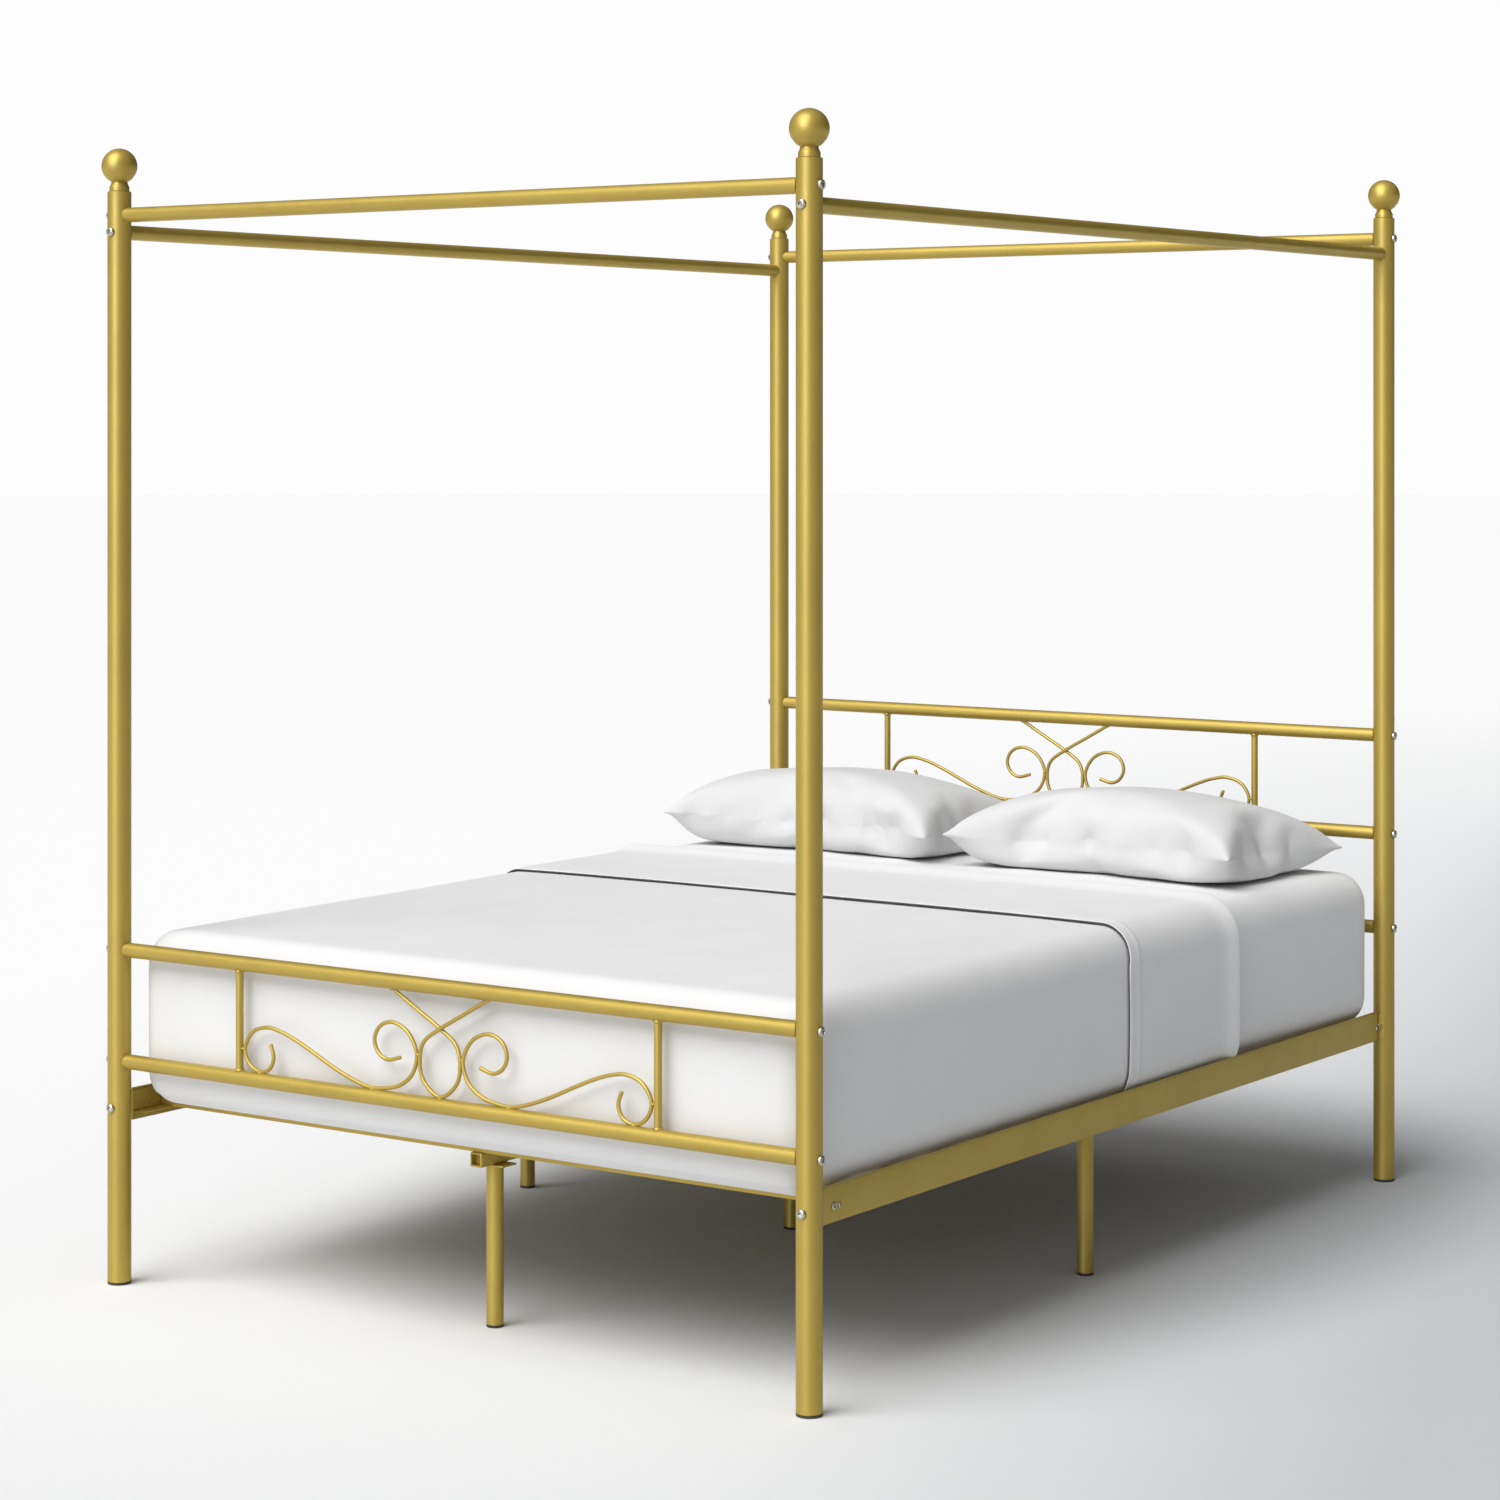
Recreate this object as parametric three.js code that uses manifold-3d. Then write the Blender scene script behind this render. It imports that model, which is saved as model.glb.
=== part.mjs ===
// Four poster canopy bed: steel tube frame, slatted platform, mattress, top sheet and two pillows.
// Millimetres. The origin is on the floor under the middle of the bed, +Z is up,
// -Y is the foot end, +Y the head end, and +X is the right-hand side seen from the foot.

import * as THREE from 'three';
import { mergeVertices } from 'three/addons/utils/BufferGeometryUtils.js';
import { RoundedBoxGeometry } from 'three/addons/geometries/RoundedBoxGeometry.js';
import Module from 'manifold-3d';

const wasm = await Module();
wasm.setup();

// ---- Driving dimensions ----

const POST_X = 702;                 // post centre lines
const POST_Y = 986;
const POST_RADIUS = 20;
const POST_WALL = 1.8;
const POST_TOP = 1843;
const POST_SIDES = 20;

const GAP = 0.3;                    // clearance left between touching pieces
const GLIDE_HEIGHT = 4;
const SPIGOT_LENGTH = 20;           // how far a plug reaches into a tube

const BALL_RADIUS = 30;
const BALL_CENTRE_Z = 1886;
const NECK_RADIUS = 11;
const COLLAR_RADIUS = 16.5;

const TUBE_RADIUS = 12.5;           // canopy rails and panel rails
const TUBE_WALL = 1.5;
const TUBE_SIDES = 16;
const TUBE_PLUG = 28;               // threaded insert in each tube end
const CANOPY_CROSS_Z = 1803;        // canopy rails along X
const CANOPY_SIDE_Z = 1774.5;       // canopy rails along Y

const PANEL_RISE = 188;             // lower to upper rail of a scroll panel
const FOOT_PANEL_Z = 376;           // lower rail of the footboard's scroll panel
const HEAD_PANEL_Z = 664;           // lower rail of the headboard's scroll panel
const HEAD_LOW_Z = 484;             // lowest headboard rail
const BAR_X = 427;
const BAR_RADIUS = 6.4;
const WIRE_RADIUS = 3.3;
const WIRE_SIDES = 6;
const WIRE_SEAT = 14;                // wire centre line above the lower rail's centre where it is welded on
const WIRE_STEP = 18;

const BOLT_RADIUS = 3.9;
const BOLT_SIDES = 6;
const BOLT_HOLE_RADIUS = (BOLT_RADIUS + GAP) / Math.cos(Math.PI / BOLT_SIDES);
const BOLT_REACH = 22;              // thread engaged past the post in a rail's plug
const SADDLE_BOLT_REACH = 7;        // and in a bracket's threaded saddle
const BOLT_HEAD_RADIUS = 6.8;
const BOLT_HEAD_HEIGHT = 4.4;
const HEX_SOCKET_RADIUS = 2.9;
const HEX_SOCKET_DEPTH = 2.6;

const RAIL_TOP = 326;
const RAIL_BOTTOM = 271;
const RAIL_SHEET = 2.5;
const RAIL_LIP = 7;
const RAIL_END_GAP = 29;            // from a post centre line to the side rail's end
const LEDGE_TOP = 287.7;
const LEDGE_WIDTH = 32;
const RAIL_BOLT_Z = 298.5;
const RAIL_SCREW_Z = 295;
const RAIL_SCREW_RADIUS = 3;
const FOOT_RAIL_SCREWS = [65, 80];  // rail screw holes at the foot end, from the post centre line
const HEAD_RAIL_SCREWS = [34];      // and at the head end

const SADDLE_WALL = 3;
const SADDLE_HEIGHT = 48;
const SADDLE_HALF_ANGLE = 29;       // degrees of post wrapped each way
const SADDLE_BOSS_RADIUS = 8;
const SADDLE_BOSS_LENGTH = 5;
const TAB_PAST_SCREW = 12;

const SLAT_COUNT = 13;
const SLAT_WIDTH = 40;
const SLAT_BOTTOM = 288;
const SLAT_TOP = 300;
const SLAT_HALF_LENGTH = 695;
const DECK_HALF_LENGTH = 893;
const DECK_STRAP_X = 350;
const DECK_STRAP_WIDTH = 30;
const DECK_STRAP_THICKNESS = 2.5;

const BEAM_WIDTH = 24;
const BEAM_BOTTOM = 264;
const BEAM_HALF_LENGTH = 897;
const BEAM_WALL = 1.5;
const LEG_RADIUS = 14;
const LEG_WALL = 1.5;
const CENTRE_LEG_Y = 848;
const SIDE_LEG_X = 606;
const LEG_PLATE = [60, 36, 3];

const MATTRESS_HALF = [690, 961];
const MATTRESS_BOTTOM = 300.3;
const MATTRESS_TOP = 593;
const MATTRESS_ROUND = 52;

const SHEET_THICKNESS = 5;
const SHEET_FOLD_Y = 398;           // edge nearest the pillows
const SHEET_HEM_Z = 318;

const PILLOW_SIZE = [640, 400, 142];
const PILLOWS = [
  { name: 'left_pillow', x: -372, y: 725, turn: 0 },
  { name: 'right_pillow', x: 292, y: 722, turn: -4 },
];

// Centre line of one scroll wire, as [x, height above the lower rail's centre]:
// an inner curl beside the loop, a long rising sweep, and an outer curl beside the bar.
const SCROLL_POINTS = [
  [81, 68.5], [109, 62.5], [127.5, 72], [135.5, 92], [125, 113.5], [99, 123], [66, 110], [47.4, 77],
  [56.5, 45], [82, 24.5], [112, 16.5], [140, WIRE_SEAT], [166, 18.5], [215, 35], [268, 58.5],
  [305, 74], [338, 84.5], [368, 88], [399, 77], [415, 49], [404, 24], [382, WIRE_SEAT],
  [361, 21], [352, 40], [358.5, 62],
];

// Half of the centre loop, from the lower rail up through its crossing to the upper rail.
const LOOP_POINTS = [[0, WIRE_SEAT], [35, 39], [41, 74], [31, 99], [0, 121], [-50, 149], [-100, 177]];

// ---- Finishes ----

const finish = (color, roughness, metalness) =>
  new THREE.MeshStandardMaterial({ color, roughness, metalness });
const GOLD = finish(0xb8a05a, 0.38, 0.6);
const NICKEL = finish(0xc9c6bd, 0.25, 1.0);
const PLASTIC = finish(0x2e2a20, 0.6, 0.0);
const COTTON = finish(0xf2f2f2, 0.9, 0.0);

const bed = new THREE.Group();

// ---- Helpers ----

const radians = THREE.MathUtils.degToRad;

// A closed geometry as a solid that can be joined and cut.
function solid(geometry) {
  const bare = geometry.clone();
  bare.deleteAttribute('normal');
  bare.deleteAttribute('uv');
  const merged = mergeVertices(bare, 1e-4);
  const index = Array.from(merged.index.array);
  const kept = [];
  for (let i = 0; i < index.length; i += 3) {
    const [a, b, c] = index.slice(i, i + 3);
    if (a !== b && b !== c && c !== a) kept.push(a, b, c);
  }
  return new wasm.Manifold(new wasm.Mesh({
    numProp: 3,
    vertProperties: new Float32Array(merged.attributes.position.array),
    triVerts: new Uint32Array(kept),
  }));
}

function addPiece(name, piece, material) {
  const data = piece.getMesh();
  const geometry = new THREE.BufferGeometry();
  geometry.setAttribute('position', new THREE.BufferAttribute(data.vertProperties, 3));
  geometry.setIndex(new THREE.BufferAttribute(data.triVerts, 1));
  geometry.computeVertexNormals();
  const mesh = new THREE.Mesh(geometry, material);
  mesh.name = name;
  bed.add(mesh);
}

const box = (sizeX, sizeY, sizeZ, x, y, z) =>
  solid(new THREE.BoxGeometry(sizeX, sizeY, sizeZ).translate(x, y, z));

// A round bar through (x, y, z), along the axis 'x', 'y' or 'z'.
function rod(axis, radius, length, sides, x, y, z) {
  const geometry = new THREE.CylinderGeometry(radius, radius, length, sides);
  if (axis === 'x') geometry.rotateZ(Math.PI / 2);
  if (axis === 'z') geometry.rotateX(Math.PI / 2);
  return solid(geometry.translate(x, y, z));
}

// A turned piece standing on +Z, from [radius, height] points.
function turned(points, sides) {
  const profile = points.map(([radius, height]) => new THREE.Vector2(radius, height));
  return solid(new THREE.LatheGeometry(profile, sides).rotateX(Math.PI / 2));
}

const closedRing = (points) => [...points, points[0]];

function tubeBody(axis, radius, wall, length, sides, x, y, z) {
  const bore = rod(axis, radius - wall, length + 2, sides, x, y, z);
  return rod(axis, radius, length, sides, x, y, z).subtract(bore);
}

// ---- Where the frame bolts go ----

// Every bolt runs through a post from its outer face: 'x' bolts hold rails along X, 'y' bolts rails along Y.
const CORNERS = [
  { name: 'foot_left', x: -1, y: -1 },
  { name: 'foot_right', x: 1, y: -1 },
  { name: 'head_left', x: -1, y: 1 },
  { name: 'head_right', x: 1, y: 1 },
];

function boltsOf(corner) {
  const side = corner.x < 0 ? 'left' : 'right';
  const end = corner.y < 0 ? 'foot' : 'head';
  const bolts = [
    { name: `canopy_${end}_rail_bolt_${side}`, axis: 'x', z: CANOPY_CROSS_Z },
    { name: `canopy_${side}_rail_bolt_${end}`, axis: 'y', z: CANOPY_SIDE_Z },
    { name: `${side}_side_rail_bolt_${end}`, axis: 'y', z: RAIL_BOLT_Z, reach: SADDLE_BOLT_REACH },
  ];
  const boards = corner.y < 0
    ? { footboard_top: FOOT_PANEL_Z + PANEL_RISE, footboard_lower: FOOT_PANEL_Z }
    : { headboard_top: HEAD_PANEL_Z + PANEL_RISE, headboard_middle: HEAD_PANEL_Z,
      headboard_lower: HEAD_LOW_Z };
  for (const [board, z] of Object.entries(boards)) {
    bolts.push({ name: `${board}_bolt_${side}`, axis: 'x', z });
  }
  return bolts;
}

// ---- Posts, glides and ball finials ----

function post(corner) {
  const inner = POST_RADIUS - POST_WALL;
  const wall = closedRing([[inner, GLIDE_HEIGHT], [POST_RADIUS, GLIDE_HEIGHT],
    [POST_RADIUS, POST_TOP], [inner, POST_TOP]]);
  let piece = turned(wall, POST_SIDES);
  for (const bolt of boltsOf(corner)) {
    const drill = rod(bolt.axis, BOLT_HOLE_RADIUS, 3 * POST_RADIUS, BOLT_SIDES, 0, 0, bolt.z);
    piece = piece.subtract(drill);
  }
  return piece.translate([corner.x * POST_X, corner.y * POST_Y, 0]);
}

function plugRadius() {
  return (POST_RADIUS - POST_WALL) * Math.cos(Math.PI / POST_SIDES) - GAP;
}

function finial(corner) {
  const neckTop = BALL_CENTRE_Z - Math.sqrt(BALL_RADIUS ** 2 - NECK_RADIUS ** 2);
  const seat = POST_TOP + GAP;
  const points = [[0, POST_TOP - SPIGOT_LENGTH], [plugRadius(), POST_TOP - SPIGOT_LENGTH],
    [plugRadius(), seat], [COLLAR_RADIUS, seat], [COLLAR_RADIUS, seat + 5], [NECK_RADIUS, seat + 8]];
  const rings = 8;
  const start = Math.atan2(NECK_RADIUS, BALL_CENTRE_Z - neckTop);
  for (let i = 0; i <= rings; i++) {
    const angle = start + (Math.PI - start) * i / rings;
    const radius = i === rings ? 0 : BALL_RADIUS * Math.sin(angle);
    points.push([radius, BALL_CENTRE_Z - BALL_RADIUS * Math.cos(angle)]);
  }
  return turned(points, TUBE_SIDES).translate([corner.x * POST_X, corner.y * POST_Y, 0]);
}

function glide(corner) {
  const top = GLIDE_HEIGHT - GAP;
  const points = [[0, 0], [POST_RADIUS - 1, 0], [POST_RADIUS, 1], [POST_RADIUS, top],
    [plugRadius(), top], [plugRadius(), top + SPIGOT_LENGTH], [0, top + SPIGOT_LENGTH]];
  return turned(points, TUBE_SIDES).translate([corner.x * POST_X, corner.y * POST_Y, 0]);
}

// ---- Rails between the posts ----

// Hollow tube along 'x' or 'y' with a drilled plug in each end, notched to sit on the two posts.
function railTube(axis, fixed, z) {
  const reach = axis === 'x' ? POST_X : POST_Y;
  const place = (along) => (axis === 'x' ? [along, fixed, z] : [fixed, along, z]);
  const endOfPlug = reach - POST_RADIUS - TUBE_PLUG;
  let piece = rod(axis, TUBE_RADIUS, 2 * reach, TUBE_SIDES, ...place(0));
  piece = piece.subtract(rod(axis, TUBE_RADIUS - TUBE_WALL, 2 * endOfPlug, TUBE_SIDES, ...place(0)));
  piece = piece.subtract(rod(axis, BOLT_HOLE_RADIUS, 2 * reach + 2, BOLT_SIDES, ...place(0)));
  for (const side of [-1, 1]) {
    const [x, y] = place(side * reach);
    piece = piece.subtract(rod('z', POST_RADIUS + GAP, 4 * TUBE_RADIUS, POST_SIDES, x, y, z));
  }
  return piece;
}

// ---- Scroll panels ----

function wire(points) {
  const curve = new THREE.CatmullRomCurve3(points, false, 'centripetal');
  const section = new THREE.Shape();
  for (let i = 0; i < WIRE_SIDES; i++) {
    const angle = 2 * Math.PI * (i + 0.5) / WIRE_SIDES;
    const corner = [WIRE_RADIUS * Math.cos(angle), WIRE_RADIUS * Math.sin(angle)];
    if (i === 0) section.moveTo(...corner);
    else section.lineTo(...corner);
  }
  const steps = 2 * Math.round(curve.getLength() / (2 * WIRE_STEP));
  return solid(new THREE.ExtrudeGeometry(section, { steps, extrudePath: curve, bevelEnabled: false }));
}

function scrollWire(side, y, z) {
  return wire(SCROLL_POINTS.map(([x, rise]) => new THREE.Vector3(side * x, y, z + rise)));
}

// The loop wire crosses itself, so each half bows a little out of the panel's plane.
function loopWire(y, z) {
  const halves = [-1, 1].map((side) => {
    const points = LOOP_POINTS.map(([x, rise], i) => {
      const bow = i > 2 ? side * WIRE_RADIUS * 0.6 : 0;
      return new THREE.Vector3(side * x, y + bow, z + rise);
    });
    return points;
  });
  return wire([...halves[0].reverse(), ...halves[1].slice(1)]);
}

// Lower rail with the welded uprights, loop and two scroll wires that stand on it.
function scrollPanel(y, z) {
  let piece = railTube('x', y, z);
  const upperRail = rod('x', TUBE_RADIUS + GAP, 2 * POST_X, TUBE_SIDES, 0, y, z + PANEL_RISE);
  const bottom = z + TUBE_RADIUS - 1;
  const height = PANEL_RISE - TUBE_RADIUS;
  let metalwork = loopWire(y, z);
  for (const side of [-1, 1]) {
    metalwork = metalwork.add(rod('z', BAR_RADIUS, height, 10, side * BAR_X, y, bottom + height / 2));
    metalwork = metalwork.add(scrollWire(side, y, z));
  }
  return piece.add(metalwork.subtract(upperRail));
}

// ---- Side rails and their post brackets ----

const railScrews = (end) => (end < 0 ? FOOT_RAIL_SCREWS : HEAD_RAIL_SCREWS);

function sideRail(side) {
  const face = POST_X;
  const inner = face - RAIL_SHEET;
  const outline = [[face, RAIL_BOTTOM], [face, RAIL_TOP], [face - RAIL_LIP, RAIL_TOP],
    [face - RAIL_LIP, RAIL_TOP - RAIL_SHEET], [inner, RAIL_TOP - RAIL_SHEET], [inner, LEDGE_TOP],
    [face - LEDGE_WIDTH, LEDGE_TOP], [face - LEDGE_WIDTH, LEDGE_TOP - RAIL_SHEET],
    [inner, LEDGE_TOP - RAIL_SHEET], [inner, RAIL_BOTTOM]];
  const shape = new THREE.Shape(outline.map(([x, z]) => new THREE.Vector2(x, z)));
  const length = 2 * (POST_Y - RAIL_END_GAP);
  const geometry = new THREE.ExtrudeGeometry(shape, { depth: length, bevelEnabled: false, steps: 1 });
  let piece = solid(geometry.rotateX(Math.PI / 2).translate(0, length / 2, 0));
  for (const end of [-1, 1]) {
    for (const offset of railScrews(end)) {
      const y = end * (POST_Y - offset);
      piece = piece.subtract(rod('x', RAIL_SCREW_RADIUS, 20, BOLT_SIDES, face, y, RAIL_SCREW_Z));
    }
  }
  return side > 0 ? piece : piece.mirror([1, 0, 0]);
}

// Saddle curved round the post, with a threaded boss and a tab behind the side rail's web.
function bracket(corner) {
  const inner = POST_RADIUS + GAP;
  const outer = inner + SADDLE_WALL;
  const half = radians(SADDLE_HALF_ANGLE);
  const section = new THREE.Shape();
  section.absarc(0, 0, outer, Math.PI / 2 - half, Math.PI / 2 + half, false);
  section.absarc(0, 0, inner, Math.PI / 2 + half, Math.PI / 2 - half, true);
  const saddle = solid(new THREE.ExtrudeGeometry(section,
    { depth: SADDLE_HEIGHT, bevelEnabled: false, curveSegments: 6 }))
    .translate([0, 0, RAIL_BOLT_Z - SADDLE_HEIGHT / 2]);
  const bossY = outer - 1 + (SADDLE_BOSS_LENGTH - 1) / 2;
  const boss = rod('y', SADDLE_BOSS_RADIUS, SADDLE_BOSS_LENGTH - 1, BOLT_SIDES, 0, bossY, RAIL_BOLT_Z);
  const screws = railScrews(corner.y);
  const tabStart = inner + 1;
  const tabEnd = Math.max(...screws) + TAB_PAST_SCREW;
  const tabLow = LEDGE_TOP + 0.8;
  const tabHigh = RAIL_TOP - RAIL_SHEET - 0.8;
  const tabX = -(RAIL_SHEET + GAP + SADDLE_WALL / 2);
  let tab = box(SADDLE_WALL, tabEnd - tabStart, tabHigh - tabLow,
    tabX, (tabEnd + tabStart) / 2, (tabLow + tabHigh) / 2);
  for (const offset of screws) {
    tab = tab.subtract(rod('x', RAIL_SCREW_RADIUS, 20, BOLT_SIDES, tabX, offset, RAIL_SCREW_Z));
  }
  let piece = saddle.add(boss).add(tab);
  piece = piece.subtract(rod('y', BOLT_HOLE_RADIUS, 80, BOLT_SIDES, 0, 0, RAIL_BOLT_Z));
  if (corner.y > 0) piece = piece.mirror([0, 1, 0]);
  if (corner.x < 0) piece = piece.mirror([1, 0, 0]);
  return piece.translate([corner.x * POST_X, corner.y * POST_Y, 0]);
}

// ---- Bolts ----

// Button head bolt with a hex socket, its head against the outer face of the post.
function bolt(corner, { axis, z, reach = BOLT_REACH }) {
  const seat = POST_RADIUS + GAP;
  const top = seat + BOLT_HEAD_HEIGHT;
  const tip = -(POST_RADIUS + reach);
  const points = [[0, tip], [BOLT_RADIUS, tip], [BOLT_RADIUS, seat], [BOLT_HEAD_RADIUS, seat],
    [BOLT_HEAD_RADIUS * 0.9, seat + BOLT_HEAD_HEIGHT * 0.5], [BOLT_HEAD_RADIUS * 0.55, top], [0, top]];
  const socket = rod('z', HEX_SOCKET_RADIUS, 2 * HEX_SOCKET_DEPTH, 6, 0, 0, top);
  const upright = turned(points, BOLT_SIDES).subtract(socket);
  const outward = axis === 'x' ? [0, corner.x * 90, 0] : [-corner.y * 90, 0, 0];
  return upright.rotate(outward).translate([corner.x * POST_X, corner.y * POST_Y, z]);
}

// ---- Platform ----

function slatDeck() {
  const height = SLAT_TOP - SLAT_BOTTOM;
  const pitch = (2 * DECK_HALF_LENGTH - SLAT_WIDTH) / (SLAT_COUNT - 1);
  const strapZ = SLAT_BOTTOM - DECK_STRAP_THICKNESS / 2 + 0.5;
  let piece = null;
  for (const side of [-1, 1]) {
    const strap = box(DECK_STRAP_WIDTH, 2 * DECK_HALF_LENGTH - 20, DECK_STRAP_THICKNESS + 1,
      side * DECK_STRAP_X, 0, strapZ);
    piece = piece ? piece.add(strap) : strap;
  }
  for (let i = 0; i < SLAT_COUNT; i++) {
    const y = -DECK_HALF_LENGTH + SLAT_WIDTH / 2 + i * pitch;
    piece = piece.add(box(2 * SLAT_HALF_LENGTH, SLAT_WIDTH, height, 0, y, (SLAT_BOTTOM + SLAT_TOP) / 2));
  }
  return piece;
}

function centreBeam() {
  const top = SLAT_BOTTOM - GAP;
  const middle = (BEAM_BOTTOM + top) / 2;
  const height = top - BEAM_BOTTOM;
  const bore = box(BEAM_WIDTH - 2 * BEAM_WALL, 2 * BEAM_HALF_LENGTH + 2, height - 2 * BEAM_WALL,
    0, 0, middle);
  return box(BEAM_WIDTH, 2 * BEAM_HALF_LENGTH, height, 0, 0, middle).subtract(bore);
}

// Round leg with a plate on top, open at the foot.
function supportLeg(x, y, top) {
  const [plateX, plateY, plateZ] = LEG_PLATE;
  const plate = box(plateX, plateY, plateZ, x, y, top - plateZ / 2);
  const height = top - plateZ / 2;
  const wall = tubeBody('z', LEG_RADIUS, LEG_WALL, height, TUBE_SIDES, x, y, height / 2);
  return plate.add(wall);
}

// ---- Mattress and bedding ----

// A block with rounded edges, grown on every side by `grow`.
function mattressBlock(grow) {
  const [halfX, halfY] = MATTRESS_HALF;
  const height = MATTRESS_TOP - MATTRESS_BOTTOM + 2 * grow;
  const geometry = new RoundedBoxGeometry(2 * (halfX + grow), height, 2 * (halfY + grow), 2,
    MATTRESS_ROUND + grow);
  geometry.rotateX(Math.PI / 2);
  return solid(geometry.translate(0, 0, (MATTRESS_TOP + MATTRESS_BOTTOM) / 2));
}

// The sheet lies on the top, the two sides and the foot end of the mattress.
function topSheet() {
  const inner = mattressBlock(1);
  const outer = mattressBlock(1 + SHEET_THICKNESS);
  const length = SHEET_FOLD_Y + POST_Y;
  const kept = box(2 * POST_X, length, 400, 0, SHEET_FOLD_Y - length / 2, SHEET_HEM_Z + 200);
  return outer.subtract(inner).intersect(kept);
}

// Plump rectangle that thins to a seam at its edges.
function pillow({ x, y, turn }) {
  const [length, depth, thickness] = PILLOW_SIZE;
  const columns = 14;
  const geometry = new THREE.SphereGeometry(1, columns, 8);
  const position = geometry.attributes.position;
  const point = new THREE.Vector3();
  const squared = (value, power) => Math.sign(value) * Math.abs(value) ** power;
  for (let i = 0; i < position.count; i++) {
    point.fromBufferAttribute(position, i);
    const around = Math.hypot(point.x, point.z) || 1;
    const spread = Math.max(Math.abs(point.x), Math.abs(point.z)) / around || 1;
    const grown = around / (0.72 * spread + 0.28);
    position.setXYZ(i, length / 2 * (point.x / around) * grown,
      thickness / 2 * squared(point.y, 0.8), depth / 2 * (point.z / around) * grown);
  }
  geometry.rotateX(Math.PI / 2);
  return solid(geometry).rotate([0, 0, turn])
    .translate([x, y, MATTRESS_TOP + thickness / 2 + 0.5]);
}

// ---- Assembly ----

for (const corner of CORNERS) {
  addPiece(`${corner.name}_post`, post(corner), GOLD);
  addPiece(`${corner.name}_finial`, finial(corner), GOLD);
  addPiece(`${corner.name}_glide`, glide(corner), PLASTIC);
  addPiece(`${corner.name}_bracket`, bracket(corner), GOLD);
  for (const spec of boltsOf(corner)) addPiece(spec.name, bolt(corner, spec), NICKEL);
}

addPiece('canopy_foot_rail', railTube('x', -POST_Y, CANOPY_CROSS_Z), GOLD);
addPiece('canopy_head_rail', railTube('x', POST_Y, CANOPY_CROSS_Z), GOLD);
addPiece('canopy_left_rail', railTube('y', -POST_X, CANOPY_SIDE_Z), GOLD);
addPiece('canopy_right_rail', railTube('y', POST_X, CANOPY_SIDE_Z), GOLD);

addPiece('footboard_top_rail', railTube('x', -POST_Y, FOOT_PANEL_Z + PANEL_RISE), GOLD);
addPiece('footboard_scroll_panel', scrollPanel(-POST_Y, FOOT_PANEL_Z), GOLD);
addPiece('headboard_top_rail', railTube('x', POST_Y, HEAD_PANEL_Z + PANEL_RISE), GOLD);
addPiece('headboard_scroll_panel', scrollPanel(POST_Y, HEAD_PANEL_Z), GOLD);
addPiece('headboard_lower_rail', railTube('x', POST_Y, HEAD_LOW_Z), GOLD);

addPiece('left_side_rail', sideRail(-1), GOLD);
addPiece('right_side_rail', sideRail(1), GOLD);

addPiece('slat_deck', slatDeck(), GOLD);
addPiece('centre_beam', centreBeam(), GOLD);
addPiece('centre_leg_foot', supportLeg(0, -CENTRE_LEG_Y, BEAM_BOTTOM - GAP), GOLD);
addPiece('centre_leg_middle', supportLeg(0, 0, BEAM_BOTTOM - GAP), GOLD);
addPiece('centre_leg_head', supportLeg(0, CENTRE_LEG_Y, BEAM_BOTTOM - GAP), GOLD);
addPiece('side_leg_left', supportLeg(-SIDE_LEG_X, 0, SLAT_BOTTOM - GAP), GOLD);
addPiece('side_leg_right', supportLeg(SIDE_LEG_X, 0, SLAT_BOTTOM - GAP), GOLD);

addPiece('mattress', mattressBlock(0), COTTON);
addPiece('top_sheet', topSheet(), COTTON);
for (const spec of PILLOWS) addPiece(spec.name, pillow(spec), COTTON);

export default bed;
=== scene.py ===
"""Four poster canopy bed: the visual pieces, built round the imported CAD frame.

Metres, +Z up, the foot end towards -Y. Every piece keeps its place in its mesh.
"""
import math

import bmesh
import bpy
from mathutils import Euler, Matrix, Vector, noise


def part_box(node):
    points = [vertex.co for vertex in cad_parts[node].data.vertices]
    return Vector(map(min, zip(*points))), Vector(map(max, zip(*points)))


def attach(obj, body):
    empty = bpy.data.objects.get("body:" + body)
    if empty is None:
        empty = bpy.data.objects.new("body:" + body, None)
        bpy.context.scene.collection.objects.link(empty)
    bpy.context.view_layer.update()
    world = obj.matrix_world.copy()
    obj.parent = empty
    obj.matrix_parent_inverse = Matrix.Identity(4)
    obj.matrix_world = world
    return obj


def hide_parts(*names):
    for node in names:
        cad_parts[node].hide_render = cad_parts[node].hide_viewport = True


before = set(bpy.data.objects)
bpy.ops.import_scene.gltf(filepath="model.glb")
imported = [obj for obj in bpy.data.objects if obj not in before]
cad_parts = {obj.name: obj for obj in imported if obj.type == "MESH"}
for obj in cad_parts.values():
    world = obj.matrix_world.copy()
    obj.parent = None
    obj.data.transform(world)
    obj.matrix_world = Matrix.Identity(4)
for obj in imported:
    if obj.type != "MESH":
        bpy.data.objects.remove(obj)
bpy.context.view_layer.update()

bl_info = {
    "name": "Canopy Bed Pieces",
    "version": (1, 0, 0),
    "blender": (4, 5, 0),
    "location": "3D View > Sidebar > Canopy Bed",
    "description": "Makes the tubes, scrolls, bolts and bedding of a four poster canopy bed",
    "category": "Object",
}

POST_LOW, POST_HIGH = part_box("foot_left_post")
RAIL_LOW, RAIL_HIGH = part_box("footboard_top_rail")
MATTRESS_LOW, MATTRESS_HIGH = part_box("mattress")
DECK_LOW, DECK_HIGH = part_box("slat_deck")
BEAM_LOW, BEAM_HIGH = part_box("centre_beam")

POST_X = -(POST_LOW.x + POST_HIGH.x) / 2
POST_Y = -(POST_LOW.y + POST_HIGH.y) / 2
CORNERS = {"foot_left": (-1, -1), "foot_right": (1, -1),
           "head_left": (-1, 1), "head_right": (1, 1)}
FIT = 0.0003  # clearance between touching pieces

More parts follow.
